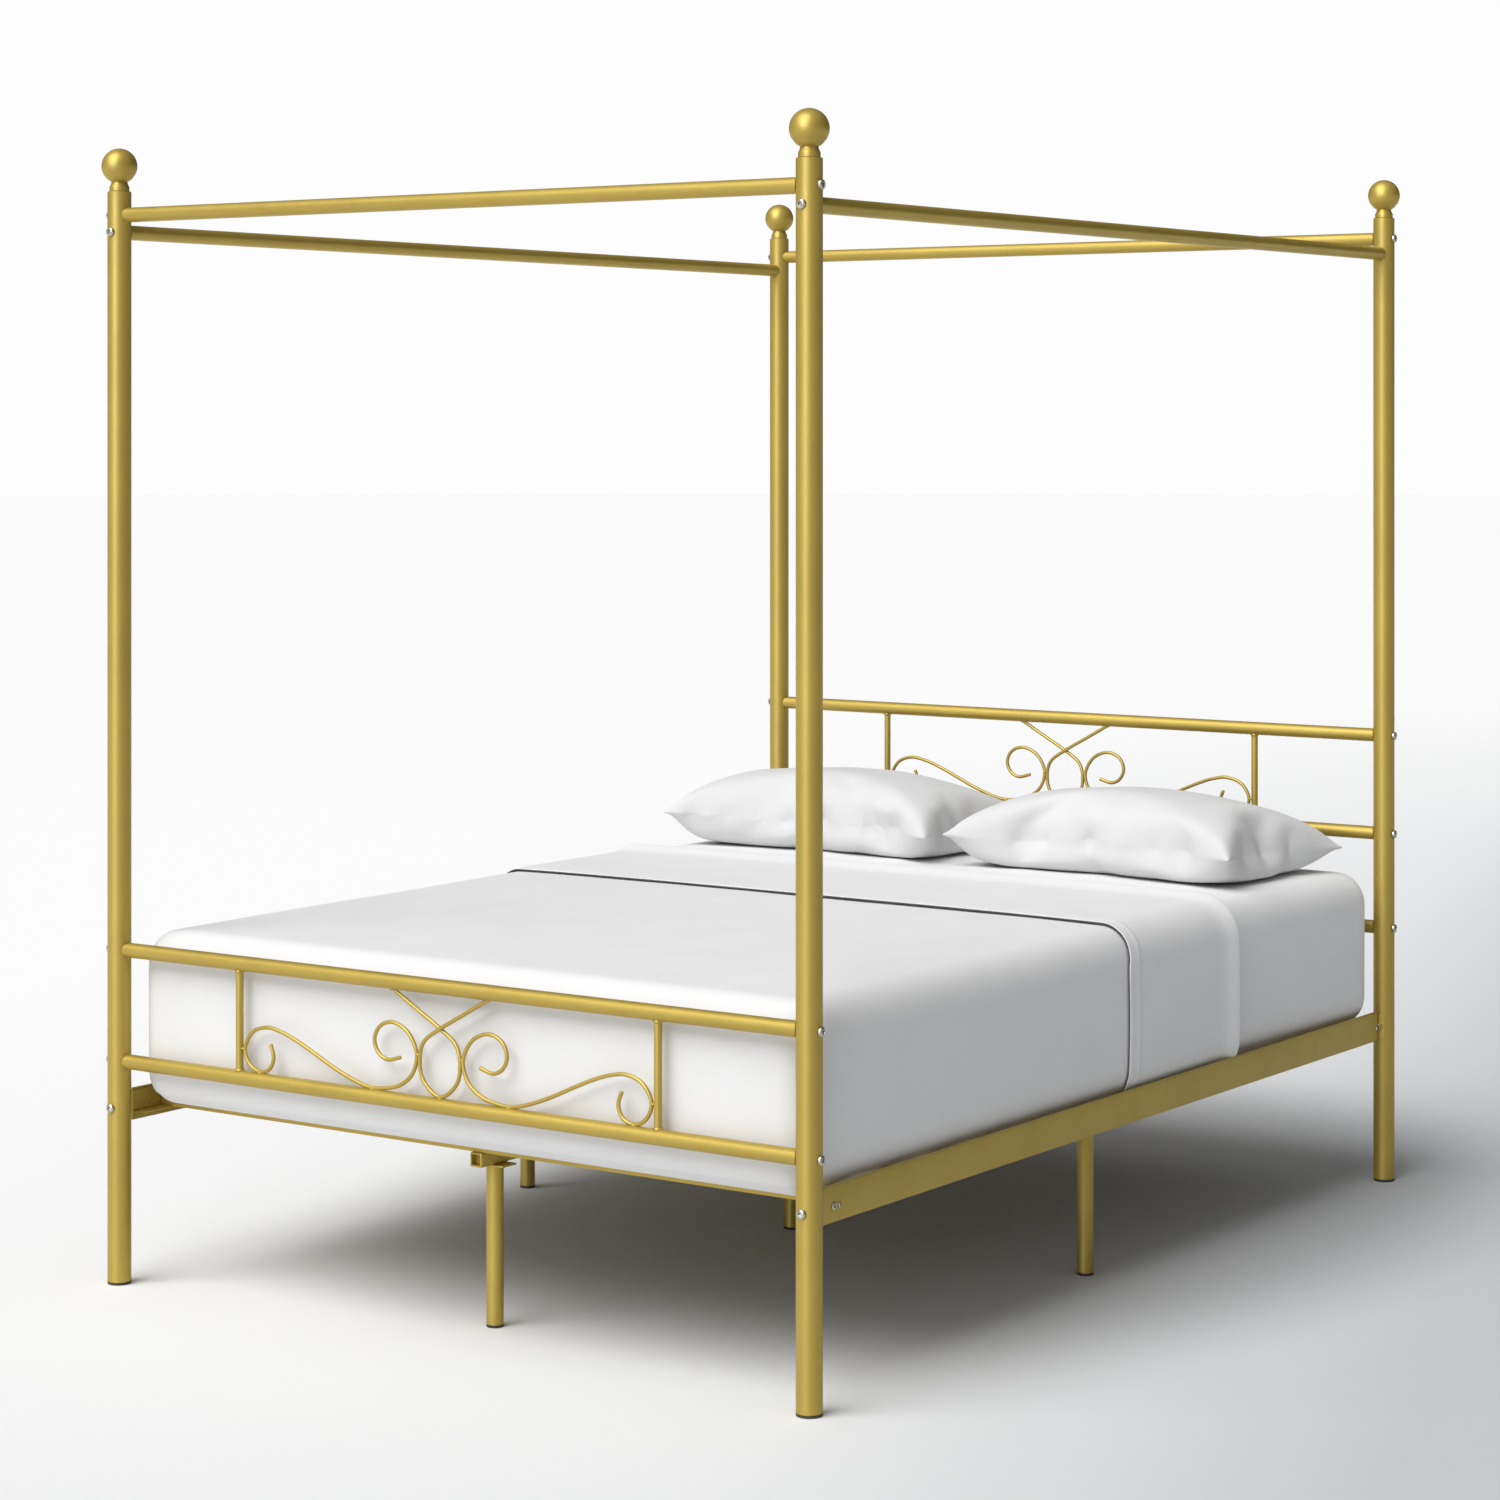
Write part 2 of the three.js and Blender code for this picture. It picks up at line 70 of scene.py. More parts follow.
# Centre line of one scroll wire from its inner curl to its outer one: distance from the
# middle of the panel, and height above the lower rail's centre line.
SCROLL_ROUTE = [
    (0.081, 0.0685), (0.109, 0.0625), (0.1275, 0.072), (0.1355, 0.092), (0.125, 0.1135),
    (0.099, 0.123), (0.066, 0.110), (0.0474, 0.077), (0.0565, 0.045), (0.082, 0.0245),
    (0.112, 0.0165), (0.140, 0.014), (0.166, 0.0185), (0.215, 0.035), (0.268, 0.0585),
    (0.305, 0.074), (0.338, 0.0845), (0.368, 0.088), (0.399, 0.077), (0.415, 0.049),
    (0.404, 0.024), (0.382, 0.014), (0.361, 0.021), (0.352, 0.040), (0.3585, 0.062),
]
# Half of the middle loop, from the lower rail through its crossing to the upper rail.
LOOP_ROUTE = [(0, 0.014), (0.035, 0.039), (0.041, 0.074), (0.031, 0.099), (0, 0.121),
              (-0.05, 0.149), (-0.10, 0.177)]
CROSSING_INDEX = 2  # past this point the two halves of the loop bow apart
BAR_X = 0.427  # upright bars, from the middle of the panel
WELDS = [(0.0, 0.0125), (0.140, 0.0125), (0.382, 0.0125), (BAR_X, 0.0125), (BAR_X, 0.1755),
         (0.099, 0.1755), (0.4185, 0.049), (0.0445, 0.077)]

# Collar and neck of a finial: radius, and height above the post.
NECK_RADIUS = 0.0130
FINIAL_NECK = [(0.0160, 0), (0.0167, 0.0007), (0.0167, 0.0068), (0.0163, 0.0083),
               (0.0149, 0.0108), (0.0141, 0.0128), (0.0136, 0.0150), (NECK_RADIUS, 0.0162)]
# Screws that show in the side rails: distance from the middle, head radius.
RAIL_SCREW_Z = 0.295
RAIL_SCREWS = {"rail_screw_foot": (-POST_Y + 0.0650, 0.0064),
               "rail_stud_foot": (-POST_Y + 0.0800, 0.0040),
               "rail_stud_head": (POST_Y - 0.0340, 0.0038)}
SLAT_BOTTOM = 0.288
LEDGE_TOP = SLAT_BOTTOM - FIT  # what the slats rest on

# How far each pillow lies from the middle of its CAD solid, and how far it is turned.
# The seam rises by the slopes (along x and y) on the bed, as the fronts are plumped up.
PILLOW_PLACES = {"left_pillow": ((0.023, 0.006), 0.0, (-0.018, -0.038)),
                 "right_pillow": ((0.024, 0.006), -3.0, (-0.004, -0.038))}


# ---- What a user would change ----

def setting(name, about, value, **limits):
    return bpy.props.FloatProperty(name=name, description=about, default=value, **limits)


def length_setting(name, about, value, **limits):
    return setting(name, about, value, unit="LENGTH", **limits)


def colour_setting(name, about, value):
    return bpy.props.FloatVectorProperty(name=name, description=about, default=value,
                                         subtype="COLOR", size=3, min=0, max=1)


class BedFrameSizes(bpy.types.PropertyGroup):
    """Sizes of the steel frame."""
    post_wall: length_setting("Post wall", "Wall of the four posts", 0.0018, min=0.001)
    tube_radius: length_setting("Rail radius", "Outer radius of the round rails",
                                (RAIL_HIGH.z - RAIL_LOW.z) / 2)
    tube_wall: length_setting("Rail wall", "Wall of the round rails", 0.0015)
    bar_radius: length_setting("Bar radius", "Radius of the upright bars", 0.0064)
    wire_radius: length_setting("Wire radius", "Radius of the scroll wires", 0.0033)
    ball_radius: length_setting("Ball radius", "Radius of the ball finials", 0.030)
    segments: bpy.props.IntProperty(
        name="Round segments", description="Sides of a post or rail", default=56, min=12)
    slats: bpy.props.IntProperty(
        name="Slats", description="Number of slats in the platform", default=13, min=2)


class BeddingSizes(bpy.types.PropertyGroup):
    """Sizes of the mattress, the top sheet and the pillows."""
    grid: length_setting("Grid", "Width of a mesh face on the mattress", 0.013)
    corner_round: length_setting("Corner round", "Plan radius of the mattress corners", 0.050)
    edge_round: length_setting("Edge round", "Radius of the top and bottom edges", 0.058)
    swell: length_setting("Side swell", "How far the sides bulge at mid height", 0.0045)
    side_inset: length_setting("Side inset", "How much narrower each side is than the CAD block",
                               0.006)
    crown: length_setting("Crown", "Rise of the top towards its middle", 0.004)
    sheet_thickness: length_setting("Sheet thickness", "Thickness of one layer of the top sheet",
                                    0.0016)
    fold_y: length_setting("Fold", "Where the top sheet is folded back, along the bed", 0.378)
    hem_y: length_setting("Hem", "Where the folded part ends, along the bed", 0.012)
    fold_puff: length_setting("Fold puff", "How far the turned back end lifts at its fold", 0.0105)
    cover_inset: length_setting("Cover inset",
                                "How far the fitted cover lies inside the top sheet", 0.005)
    hem_lean: length_setting("Hem lean", "How far the hem hangs towards the foot at the sides",
                             0.013)
    pillow_length: length_setting("Pillow length", "Flat length of a pillow case", 0.68)
    pillow_depth: length_setting("Pillow depth", "Flat depth of a pillow case", 0.46)
    pillow_loft: length_setting("Pillow loft", "Height of a pillow above its seam", 0.102)
    pillow_seam: length_setting("Pillow seam", "Height of a pillow's seam above the sheet", 0.050)
    pillow_belly: length_setting("Pillow belly", "How far the underside bulges past the seam",
                                 0.026)


class BedFinishes(bpy.types.PropertyGroup):
    """Colours of the finishes."""
    gold: colour_setting("Gold", "Satin gold paint", (0.475, 0.342, 0.062))
    nickel: colour_setting("Nickel", "Plated bolts", (0.56, 0.53, 0.43))
    plastic: colour_setting("Foot plastic", "Moulded glides", (0.035, 0.030, 0.020))
    cotton: colour_setting("Cotton", "White bedding", (0.80, 0.80, 0.803))


class BedStudio(bpy.types.PropertyGroup):
    """Floor, light and camera."""
    key_strength: setting("Key light", "Strength of the soft key light", 2.60)
    front_strength: setting("Front light", "Strength of the highlight on the front of the tubes",
                            1.75)
    fill_bright: setting("Bright side", "Light from the front of the room", 0.50)
    fill_dim: setting("Dim side", "Light from the back of the room", 0.0)
    floor: colour_setting("Floor", "Colour of the studio floor", (0.97, 0.97, 0.97))
    # Painted shade: the floor is painted this colour to the right of the bed, in place of the
    # light falling off there.
    floor_painted_shade: colour_setting("Floor in shade", "Colour of the floor to the right of the bed",
                               (0.56, 0.58, 0.60))
    lens: setting("Lens", "Focal length of the camera in millimetres", 86.17)


# ---- Materials ----

def add_node(tree, kind, sockets=None, **settings):
    """Adds a shader node, sets its settings, and fills or links its sockets."""
    made = tree.nodes.new("ShaderNode" + kind)
    for key, value in settings.items():
        setattr(made, key, value)
    for key, value in (sockets or {}).items():
        if isinstance(value, bpy.types.NodeSocket):
            tree.links.new(value, made.inputs[key])
        else:
            made.inputs[key].default_value = value
    return made


def blank_material(name):
    """A material with an empty tree, its object coordinates and its output."""
    made = bpy.data.materials.new(name)
    made.use_nodes = True
    tree = made.node_tree
    tree.nodes.clear()
    place = add_node(tree, "TexCoord").outputs["Object"]
    return made, tree, place


def grain(tree, place, scale, detail=2.0, rough=0.5, stretch=None):
    """Noise value at a scale in waves per metre, drawn out by `stretch` along the axes."""
    if stretch:
        place = add_node(tree, "Mapping", {"Vector": place, "Scale": stretch}).outputs[0]
    return add_node(tree, "TexNoise", {
        "Vector": place, "Scale": scale, "Detail": detail, "Roughness": rough}).outputs[0]


def spread(tree, value, low, high, start=0.3, end=0.7, kind="LINEAR"):
    """A value moved from the range start to end to the range low to high."""
    return add_node(tree, "MapRange", {
        "Value": value, "From Min": start, "From Max": end, "To Min": low, "To Max": high},
        interpolation_type=kind).outputs[0]


def blend_colour(tree, value, colours, ends=(0.35, 0.65)):
    ramp = add_node(tree, "ValToRGB", {"Fac": value})
    for stop, colour, position in zip(ramp.color_ramp.elements, colours, ends):
        stop.color = (*colour, 1)
        stop.position = position
    return ramp.outputs[0]


def shaded(colour, factor):
    return tuple(min(1.0, part * factor) for part in colour)


def finish_with(tree, sockets):
    shader = add_node(tree, "BsdfPrincipled", sockets)
    add_node(tree, "OutputMaterial", {"Surface": shader.outputs[0]})


def bump(tree, height, strength, distance, below=None):
    sockets = {"Height": height, "Strength": strength, "Distance": distance}
    if below:
        sockets["Normal"] = below
    return add_node(tree, "Bump", sockets).outputs[0]


def gold_paint():
    """Satin gold powder coat: a cloudy colour, fine metal flake and a faint orange peel."""
    if found := bpy.data.materials.get("bed_gold_paint"):
        return found
    colour = bpy.context.scene.bed_finishes.gold
    made, tree, place = blank_material("bed_gold_paint")
    cloud = grain(tree, place, 7.0, 3.0)
    flake = grain(tree, place, 1400.0, 1.0)
    base = blend_colour(tree, cloud, (shaded(colour, 0.93), shaded(colour, 1.05)))
    sparkle = blend_colour(tree, flake, (shaded(colour, 0.80), shaded(colour, 1.22)), (0.3, 0.7))
    mixed = add_node(tree, "Mix", {0: 0.35, 6: base, 7: sparkle},
                     data_type="RGBA").outputs[2]
    peel = bump(tree, grain(tree, place, 420.0, 2.0), 0.10, 0.0004)
    finish_with(tree, {
        "Base Color": mixed, "Metallic": 0.60, "Normal": peel,
        "Roughness": spread(tree, grain(tree, place, 45.0, 4.0), 0.42, 0.50),
        "Specular IOR Level": 0.35, "Coat Weight": 0.20, "Coat Roughness": 0.40})
    return made


def nickel_steel():
    """Plated steel with fine turning marks and small dull patches."""
    if found := bpy.data.materials.get("bed_nickel_steel"):
        return found
    colour = bpy.context.scene.bed_finishes.nickel
    made, tree, place = blank_material("bed_nickel_steel")
    dull = grain(tree, place, 260.0, 3.0)
    marks = grain(tree, place, 900.0, 2.0, stretch=(1.0, 1.0, 4.0))
    finish_with(tree, {
        "Base Color": blend_colour(tree, dull, (shaded(colour, 0.85), shaded(colour, 1.08))),
        "Metallic": 1.0, "Roughness": spread(tree, dull, 0.18, 0.34),
        "Normal": bump(tree, marks, 0.12, 0.0002)})
    return made


def foot_plastic():
    """Dark moulded plastic with a fine spark-eroded grain and scuffs."""
    if found := bpy.data.materials.get("bed_foot_plastic"):
        return found
    colour = bpy.context.scene.bed_finishes.plastic
    made, tree, place = blank_material("bed_foot_plastic")
    scuff = grain(tree, place, 120.0, 4.0)
    finish_with(tree, {
        "Base Color": blend_colour(tree, scuff, (shaded(colour, 0.8), shaded(colour, 1.5))),
        "Roughness": spread(tree, scuff, 0.45, 0.62),
        "Normal": bump(tree, grain(tree, place, 1500.0, 1.0), 0.25, 0.0003)})
    return made


def woven(name, tint, thread, crease, crease_scale, stretch):
    """White cotton: crossed threads, soft pressing creases and a slight change of shade."""
    if found := bpy.data.materials.get(name):
        return found
    colour = shaded(bpy.context.scene.bed_finishes.cotton, tint)
    made, tree, place = blank_material(name)
    threads = None
    for axis in "XYZ":
        band = add_node(tree, "TexWave", {"Vector": place, "Scale": thread},
                        wave_type="BANDS", bands_direction=axis, wave_profile="SIN").outputs["Fac"]
        threads = band if threads is None else add_node(
            tree, "Math", {0: threads, 1: band}, operation="ADD").outputs[0]
    slub = grain(tree, place, 310.0, 2.0, stretch=(1.0, 0.25, 1.0))
    soft = grain(tree, place, crease_scale, 3.0, 0.45, stretch=stretch)
    rest = bump(tree, soft, crease, 0.006)
    rest = bump(tree, slub, 0.05, 0.0004, rest)
    rest = bump(tree, threads, 0.06, 0.0002, rest)
    finish_with(tree, {
        "Base Color": blend_colour(tree, grain(tree, place, 9.0, 4.0),
                                   (shaded(colour, 0.985), shaded(colour, 1.01))),
        "Roughness": spread(tree, slub, 0.80, 0.92), "Normal": rest,
        "Sheen Weight": 0.04, "Sheen Roughness": 0.5, "Specular IOR Level": 0.25})
    return made


def mattress_cotton():
    return woven("bed_mattress_cotton", 1.0, 260.0, 0.10, 5.0, (1.0, 0.5, 1.0))


def sheet_cotton():
    return woven("bed_sheet_cotton", 1.0, 300.0, 0.10, 4.0, (1.0, 0.4, 1.0))


# A near-black cotton cord: painted shadow, standing in for the crevice under the hem's piping.
def shadow_cord_cotton():
    return woven("bed_shadow_cord_cotton", 0.10, 900.0, 0.05, 5.0, (1.0, 1.0, 1.0))


# Painted shade: the pillow cotton is a darker copy of the same white, toning down the strong light
# on the pillows' tops.
def pillow_cotton():
    return woven("bed_pillow_cotton", 0.88, 280.0, 0.22, 16.0, (0.5, 1.0, 0.6))


# ---- Shapes ----

def scene_sizes():
    scene = bpy.context.scene
    return scene.bed_frame_sizes, scene.bedding_sizes


def keep_piece(name, bm, material, body, nodes=(), sharp=38.0):
    """Makes the finished piece of a bmesh, riding on its body and standing for its CAD nodes."""
    mesh = bpy.data.meshes.new(name)
    bm.to_mesh(mesh)
    bm.free()
    mesh.materials.append(material)
    mesh.shade_smooth()
    if sharp:
        mesh.set_sharp_from_angle(angle=math.radians(sharp))
    piece = bpy.data.objects.new(name, mesh)
    bpy.context.scene.collection.objects.link(piece)
    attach(piece, body)
    if nodes:
        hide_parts(*nodes)
    return piece


def keep_gold(name, bm, node):
    """Makes a gold painted piece of the frame, standing for its CAD node."""
    return keep_piece(name, bm, gold_paint(), "frame", [node])


def middle_and_axis(node):
    """Middle of a long node's box, the axis that it runs along and its length."""
    low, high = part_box(node)
    size = high - low
    return (low + high) / 2, "x" if size.x > size.y else "y", max(size.x, size.y)


def face_outwards(bm):
    bmesh.ops.recalc_face_normals(bm, faces=bm.faces[:])


def tidy(bm, gap=1e-6):
    bmesh.ops.remove_doubles(bm, verts=bm.verts[:], dist=gap)
    face_outwards(bm)


def boundary(bm):
    return [edge for edge in bm.edges if edge.is_boundary]


def verts_in(geom):
    return [part for part in geom if isinstance(part, bmesh.types.BMVert)]


def merge(bm, part):
    """Adds a finished bmesh to another one, and frees it."""
    mesh = bpy.data.meshes.new("part")
    part.to_mesh(mesh)
    part.free()
    bm.from_mesh(mesh)
    bpy.data.meshes.remove(mesh)


def turned(outline, segments, closed=False):
    """Spins an outline of (radius, height) points round +Z. A closed outline makes a tube."""
    bm = bmesh.new()
    spokes = [bm.verts.new((radius, 0, height)) for radius, height in outline]
    pairs = list(zip(spokes, spokes[1:])) + ([(spokes[-1], spokes[0])] if closed else [])
    edges = [bm.edges.new(pair) for pair in pairs]
    bmesh.ops.spin(bm, geom=spokes + edges, cent=(0, 0, 0), axis=(0, 0, 1), dvec=(0, 0, 0),
                   angle=math.tau, steps=segments, use_merge=True)
    tidy(bm)
    return bm


def tube_outline(radius, wall, low, high, ease=0.0006):
    """Section of a tube wall with eased rims."""
    inner = radius - wall
    return [(inner, low), (radius - ease, low), (radius, low + ease), (radius, high - ease),
            (radius - ease, high), (inner, high)]


def moved(bm, offset, turn=None):
    if turn:
        bmesh.ops.rotate(bm, verts=bm.verts[:], cent=(0, 0, 0), matrix=turn)
    bmesh.ops.translate(bm, verts=bm.verts[:], vec=Vector(offset))
    return bm


def towards(axis, sign):
    """Rotation that turns +Z to an outward axis."""
    return (Euler((0, sign * math.pi / 2, 0)) if axis == "x"
            else Euler((-sign * math.pi / 2, 0, 0))).to_matrix()


def extruded(outline, axis, start, end, ease, segments=3):
    """Extrudes a flat outline along an axis and rounds its long edges."""
    bm = bmesh.new()
    spots = [(start, a, b) if axis == "x" else (a, start, b) for a, b in outline]
    face = bm.faces.new([bm.verts.new(spot) for spot in spots])
    grown = bmesh.ops.extrude_face_region(bm, geom=[face], use_keep_orig=True)["geom"]
    step = Vector((end - start, 0, 0)) if axis == "x" else Vector((0, end - start, 0))
    bmesh.ops.translate(bm, verts=verts_in(grown), vec=step)
    direction = step.normalized()
    long_edges = [edge for edge in bm.edges
                  if abs((edge.verts[0].co - edge.verts[1].co).normalized().dot(direction)) > 0.99]
    bmesh.ops.bevel(bm, geom=long_edges, offset=ease, segments=segments, profile=0.5,
                    affect="EDGES", material=-1, clamp_overlap=True)
    face_outwards(bm)
    return bm


def slab(size, centre, ease=0.0012, segments=3, bm=None):
    """Box with rounded edges."""
    bm = bm or bmesh.new()
    made = bmesh.ops.create_cube(bm, size=1.0)["verts"]
    bmesh.ops.scale(bm, verts=made, vec=Vector(size))
    bmesh.ops.translate(bm, verts=made, vec=Vector(centre))
    edges = list({edge for vert in made for edge in vert.link_edges})
    bmesh.ops.bevel(bm, geom=edges, offset=ease, segments=segments, profile=0.5,
                    affect="EDGES", material=-1)
    return bm


def smooth_route(points, steps=9):
    """Points along a centripetal curve through `points`."""
    ends = [2 * points[0] - points[1], *points, 2 * points[-1] - points[-2]]
    route = [points[0]]
    for before, start, end, after in zip(ends, ends[1:], ends[2:], ends[3:]):
        gaps = [max(1e-6, (b - a).length ** 0.5) for a, b in
                ((before, start), (start, end), (end, after))]
        leave = (start - before) / gaps[0] - (end - before) / (gaps[0] + gaps[1]) \
            + (end - start) / gaps[1]
        arrive = (end - start) / gaps[1] - (after - start) / (gaps[1] + gaps[2]) \
            + (after - end) / gaps[2]
        leave, arrive = leave * gaps[1], arrive * gaps[1]
        for i in range(1, steps + 1):
            t = i / steps
            route.append((2 * t ** 3 - 3 * t ** 2 + 1) * start + (t ** 3 - 2 * t ** 2 + t) * leave
                         + (3 * t ** 2 - 2 * t ** 3) * end + (t ** 3 - t ** 2) * arrive)
    return route


def cord_mesh(route, radius, resolution=5):
    """Mesh of a round wire along a route, with flat ends."""
    curve = bpy.data.curves.new("wire", "CURVE")
    curve.dimensions = "3D"
    curve.bevel_depth = radius
    curve.bevel_resolution = resolution
    curve.use_fill_caps = True
    spline = curve.splines.new("POLY")
    spline.points.add(len(route) - 1)
    for point, spot in zip(spline.points, route):
        point.co = (*spot, 1)
    holder = bpy.data.objects.new("wire", curve)
    mesh = bpy.data.meshes.new_from_object(holder)
    bpy.data.objects.remove(holder)
    bpy.data.curves.remove(curve)
    return mesh


def add_wire(bm, route, radius, ease=0.0):
    """Adds a round wire to a bmesh, with closed ends whose rims are rounded by `ease`."""
    mesh = cord_mesh(route, radius)
    wire = bmesh.new()
    wire.from_mesh(mesh)
    bpy.data.meshes.remove(mesh)
    bmesh.ops.remove_doubles(wire, verts=wire.verts[:], dist=1e-5)
    if ease:
        rims = [edge for edge in wire.edges if edge.calc_face_angle(0.0) > 1.4]
        bmesh.ops.bevel(wire, geom=rims, offset=ease, segments=3, profile=0.5, affect="EDGES",
                        material=-1)
    merge(bm, wire)


# ---- Frame pieces ----

def coped_tube(axis, across, z, sizes):
    """Round rail between two posts, its ends hollowed to sit on them."""
    along = POST_X if axis == "x" else POST_Y
    wall = sizes.tube_wall
    bm = turned(tube_outline(sizes.tube_radius, wall, -along, along, wall * 0.9),
                sizes.segments, True)
    post_radius = (POST_HIGH.x - POST_LOW.x) / 2 + FIT
    for vert in bm.verts:
        side = math.copysign(1.0, vert.co.z)
        inset = along - abs(vert.co.z)
        # After the turn below, the tube's local x or y is what crosses the post.
        cross = vert.co.y if axis == "x" else vert.co.x
        vert.co.z = side * (along - math.sqrt(post_radius ** 2 - cross ** 2) - inset)
    place = (0, across, z) if axis == "x" else (across, 0, z)
    return moved(bm, place, towards(axis, 1))


def weld(bm, spot, radius, flat=0.55):
    """Low bead of weld metal round a joint."""
    made = bmesh.ops.create_uvsphere(bm, u_segments=18, v_segments=10, radius=radius)["verts"]
    bmesh.ops.scale(bm, verts=made, vec=Vector((1.0, 1.0, flat)))
    bmesh.ops.translate(bm, verts=made, vec=Vector(spot))


class BED_OT_posts(bpy.types.Operator):
    """Make the four posts with their ball finials and glides"""
    bl_idname = "bed.posts"
    bl_label = "Posts, Finials and Glides"

    def execute(self, context):
        sizes, _ = scene_sizes()
        for corner, (side, end) in CORNERS.items():
            place = (side * POST_X, end * POST_Y, 0)
            low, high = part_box(corner + "_post")
            radius = (high.x - low.x) / 2
            post = turned(tube_outline(radius, sizes.post_wall, low.z, high.z, 0.0010),
                          sizes.segments, True)
            keep_gold(corner + "_post_tube", moved(post, place), corner + "_post")

            seat = high.z + FIT
            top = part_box(corner + "_finial")[1].z
            ball, middle = sizes.ball_radius, top - sizes.ball_radius
            plug = radius - sizes.post_wall - FIT
            lift = math.asin(NECK_RADIUS / ball)
            outline = [(0, seat - 0.020), (plug - 0.001, seat - 0.020), (plug, seat - 0.019),
                       (plug, seat), *((reach, seat + up) for reach, up in FINIAL_NECK)]
            outline += [(ball * math.cos(a), middle + ball * math.sin(a))
                        for a in (lift - math.pi / 2 + (math.pi - lift) * i / 30
                                  for i in range(31))]
            outline[-1] = (0, top)
            seam = min(outline, key=lambda spot: abs(spot[1] - middle + 0.63 * ball))
            outline[outline.index(seam)] = (seam[0] - 0.0006, seam[1])
            finial = turned(outline, sizes.segments)
            keep_gold(corner + "_ball", moved(finial, place), corner + "_finial")

            foot = low.z - FIT
            outline = [(0, 0), (radius - 0.0016, 0), (radius - 0.0004, 0.0005), (radius, 0.0015),
                       (radius, foot - 0.0004), (radius - 0.0004, foot), (plug, foot),
                       (plug, foot + 0.018), (plug - 0.002, foot + 0.020), (0, foot + 0.020)]
            glide = turned(outline, sizes.segments)
            keep_piece(corner + "_foot_cap", moved(glide, place), foot_plastic(), "frame",
                       [corner + "_glide"])
        return {"FINISHED"}


class BED_OT_rails(bpy.types.Operator):
    """Make the canopy rails and the plain round rails of both boards"""
    bl_idname = "bed.rails"
    bl_label = "Round Rails"

    def execute(self, context):
        sizes, _ = scene_sizes()
        for node in ("canopy_foot_rail", "canopy_head_rail", "canopy_left_rail",
                     "canopy_right_rail", "footboard_top_rail", "headboard_top_rail",
                     "headboard_lower_rail"):
            middle, axis, _ = middle_and_axis(node)
            across = middle.y if axis == "x" else middle.x
            keep_gold(node + "_tube", coped_tube(axis, across, middle.z, sizes), node)
        return {"FINISHED"}


class BED_OT_scroll_panels(bpy.types.Operator):
    """Make the lower rails with their upright bars, scrolls and middle loop"""
    bl_idname = "bed.scroll_panels"
    bl_label = "Scroll Panels"

    def execute(self, context):
        sizes, _ = scene_sizes()
        for board in ("footboard", "headboard"):
            low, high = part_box(board + "_scroll_panel")
            y = (low.y + high.y) / 2
            z = low.z + sizes.tube_radius
            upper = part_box(board + "_top_rail")
            rise = (upper[0].z + upper[1].z) / 2 - z
            panel = coped_tube("x", y, z, sizes)
            top_of_bar = z + rise - sizes.tube_radius - FIT
            for side in (-1, 1):
                route = [Vector((side * x, y, z + up)) for x, up in SCROLL_ROUTE]
                add_wire(panel, smooth_route(route), sizes.wire_radius, 0.0012)
                bar = [Vector((side * BAR_X, y, z + sizes.tube_radius * 0.9)),
                       Vector((side * BAR_X, y, top_of_bar))]
                add_wire(panel, bar, sizes.bar_radius)
            halves = []
            for side in (-1, 1):
                bow = side * sizes.wire_radius * 0.6
                halves.append([Vector((side * x, y + (bow if i > CROSSING_INDEX else 0), z + up))
                               for i, (x, up) in enumerate(LOOP_ROUTE)])
            loop = smooth_route([*reversed(halves[0]), *halves[1][1:]])
            add_wire(panel, loop, sizes.wire_radius)
            for x, up in WELDS:
                for side in ((-1, 1) if x else (1,)):
                    size = sizes.bar_radius if x == BAR_X else sizes.wire_radius
                    weld(panel, (side * x, y, z + up), size * 1.28)
            keep_gold(board + "_scrolls", panel, board + "_scroll_panel")
        return {"FINISHED"}


class BED_OT_side_rails(bpy.types.Operator):
    """Make the two side rails of folded sheet steel, and paint the post brackets"""
    bl_idname = "bed.side_rails"
    bl_label = "Side Rails and Brackets"

    def execute(self, context):
        sheet, lip, ledge = 0.0025, 0.007, 0.032
        for name, side in (("left", -1), ("right", 1)):
            low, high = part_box(name + "_side_rail")
            face = POST_X
            inner = face - sheet
            outline = [(face, low.z), (face, high.z), (face - lip, high.z),
                       (face - lip, high.z - sheet), (inner, high.z - sheet), (inner, LEDGE_TOP),
                       (face - ledge, LEDGE_TOP), (face - ledge, LEDGE_TOP - sheet),
                       (inner, LEDGE_TOP - sheet), (inner, low.z)]
            rail = extruded([(side * x, z) for x, z in outline], "y", low.y, high.y, 0.0011)
            keep_gold(name + "_side_rail_sheet", rail, name + "_side_rail")
        for corner in CORNERS:
            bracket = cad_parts[corner + "_bracket"]
            for holder in bracket.material_slots:
                holder.material = gold_paint()
        return {"FINISHED"}


def button_bolt(head, height, shank, length, socket, segments=36):
    """Button head bolt standing on +Z with its seat at zero, a hex socket in its head."""
    rim = socket * 1.36
    dome = [(rim + (head - rim) * math.cos(a), height * 0.30 + height * 0.70 * math.sin(a))
            for a in (math.pi / 2 * i / 7 for i in range(8))]
    outline = [(0, -length), (shank - 0.0008, -length), (shank, -length + 0.0008), (shank, 0),
               (head - 0.0003, 0), (head, 0.0003), *dome]
    bm = turned(outline, segments)
    for drop, mouth in ((0.0002, 1.06), (0.0005, 1.0), (socket, 1.0)):
        grown = bmesh.ops.extrude_edge_only(bm, edges=boundary(bm))["geom"]
        for vert in verts_in(grown):
            turn = math.atan2(vert.co.y, vert.co.x)
            flat = (turn + math.pi / 6) % (math.pi / 3) - math.pi / 6
            reach = socket / math.cos(flat) * mouth
            vert.co = (reach * math.cos(turn), reach * math.sin(turn), height - drop)
    bmesh.ops.holes_fill(bm, edges=boundary(bm), sides=0)
    face_outwards(bm)
    return bm


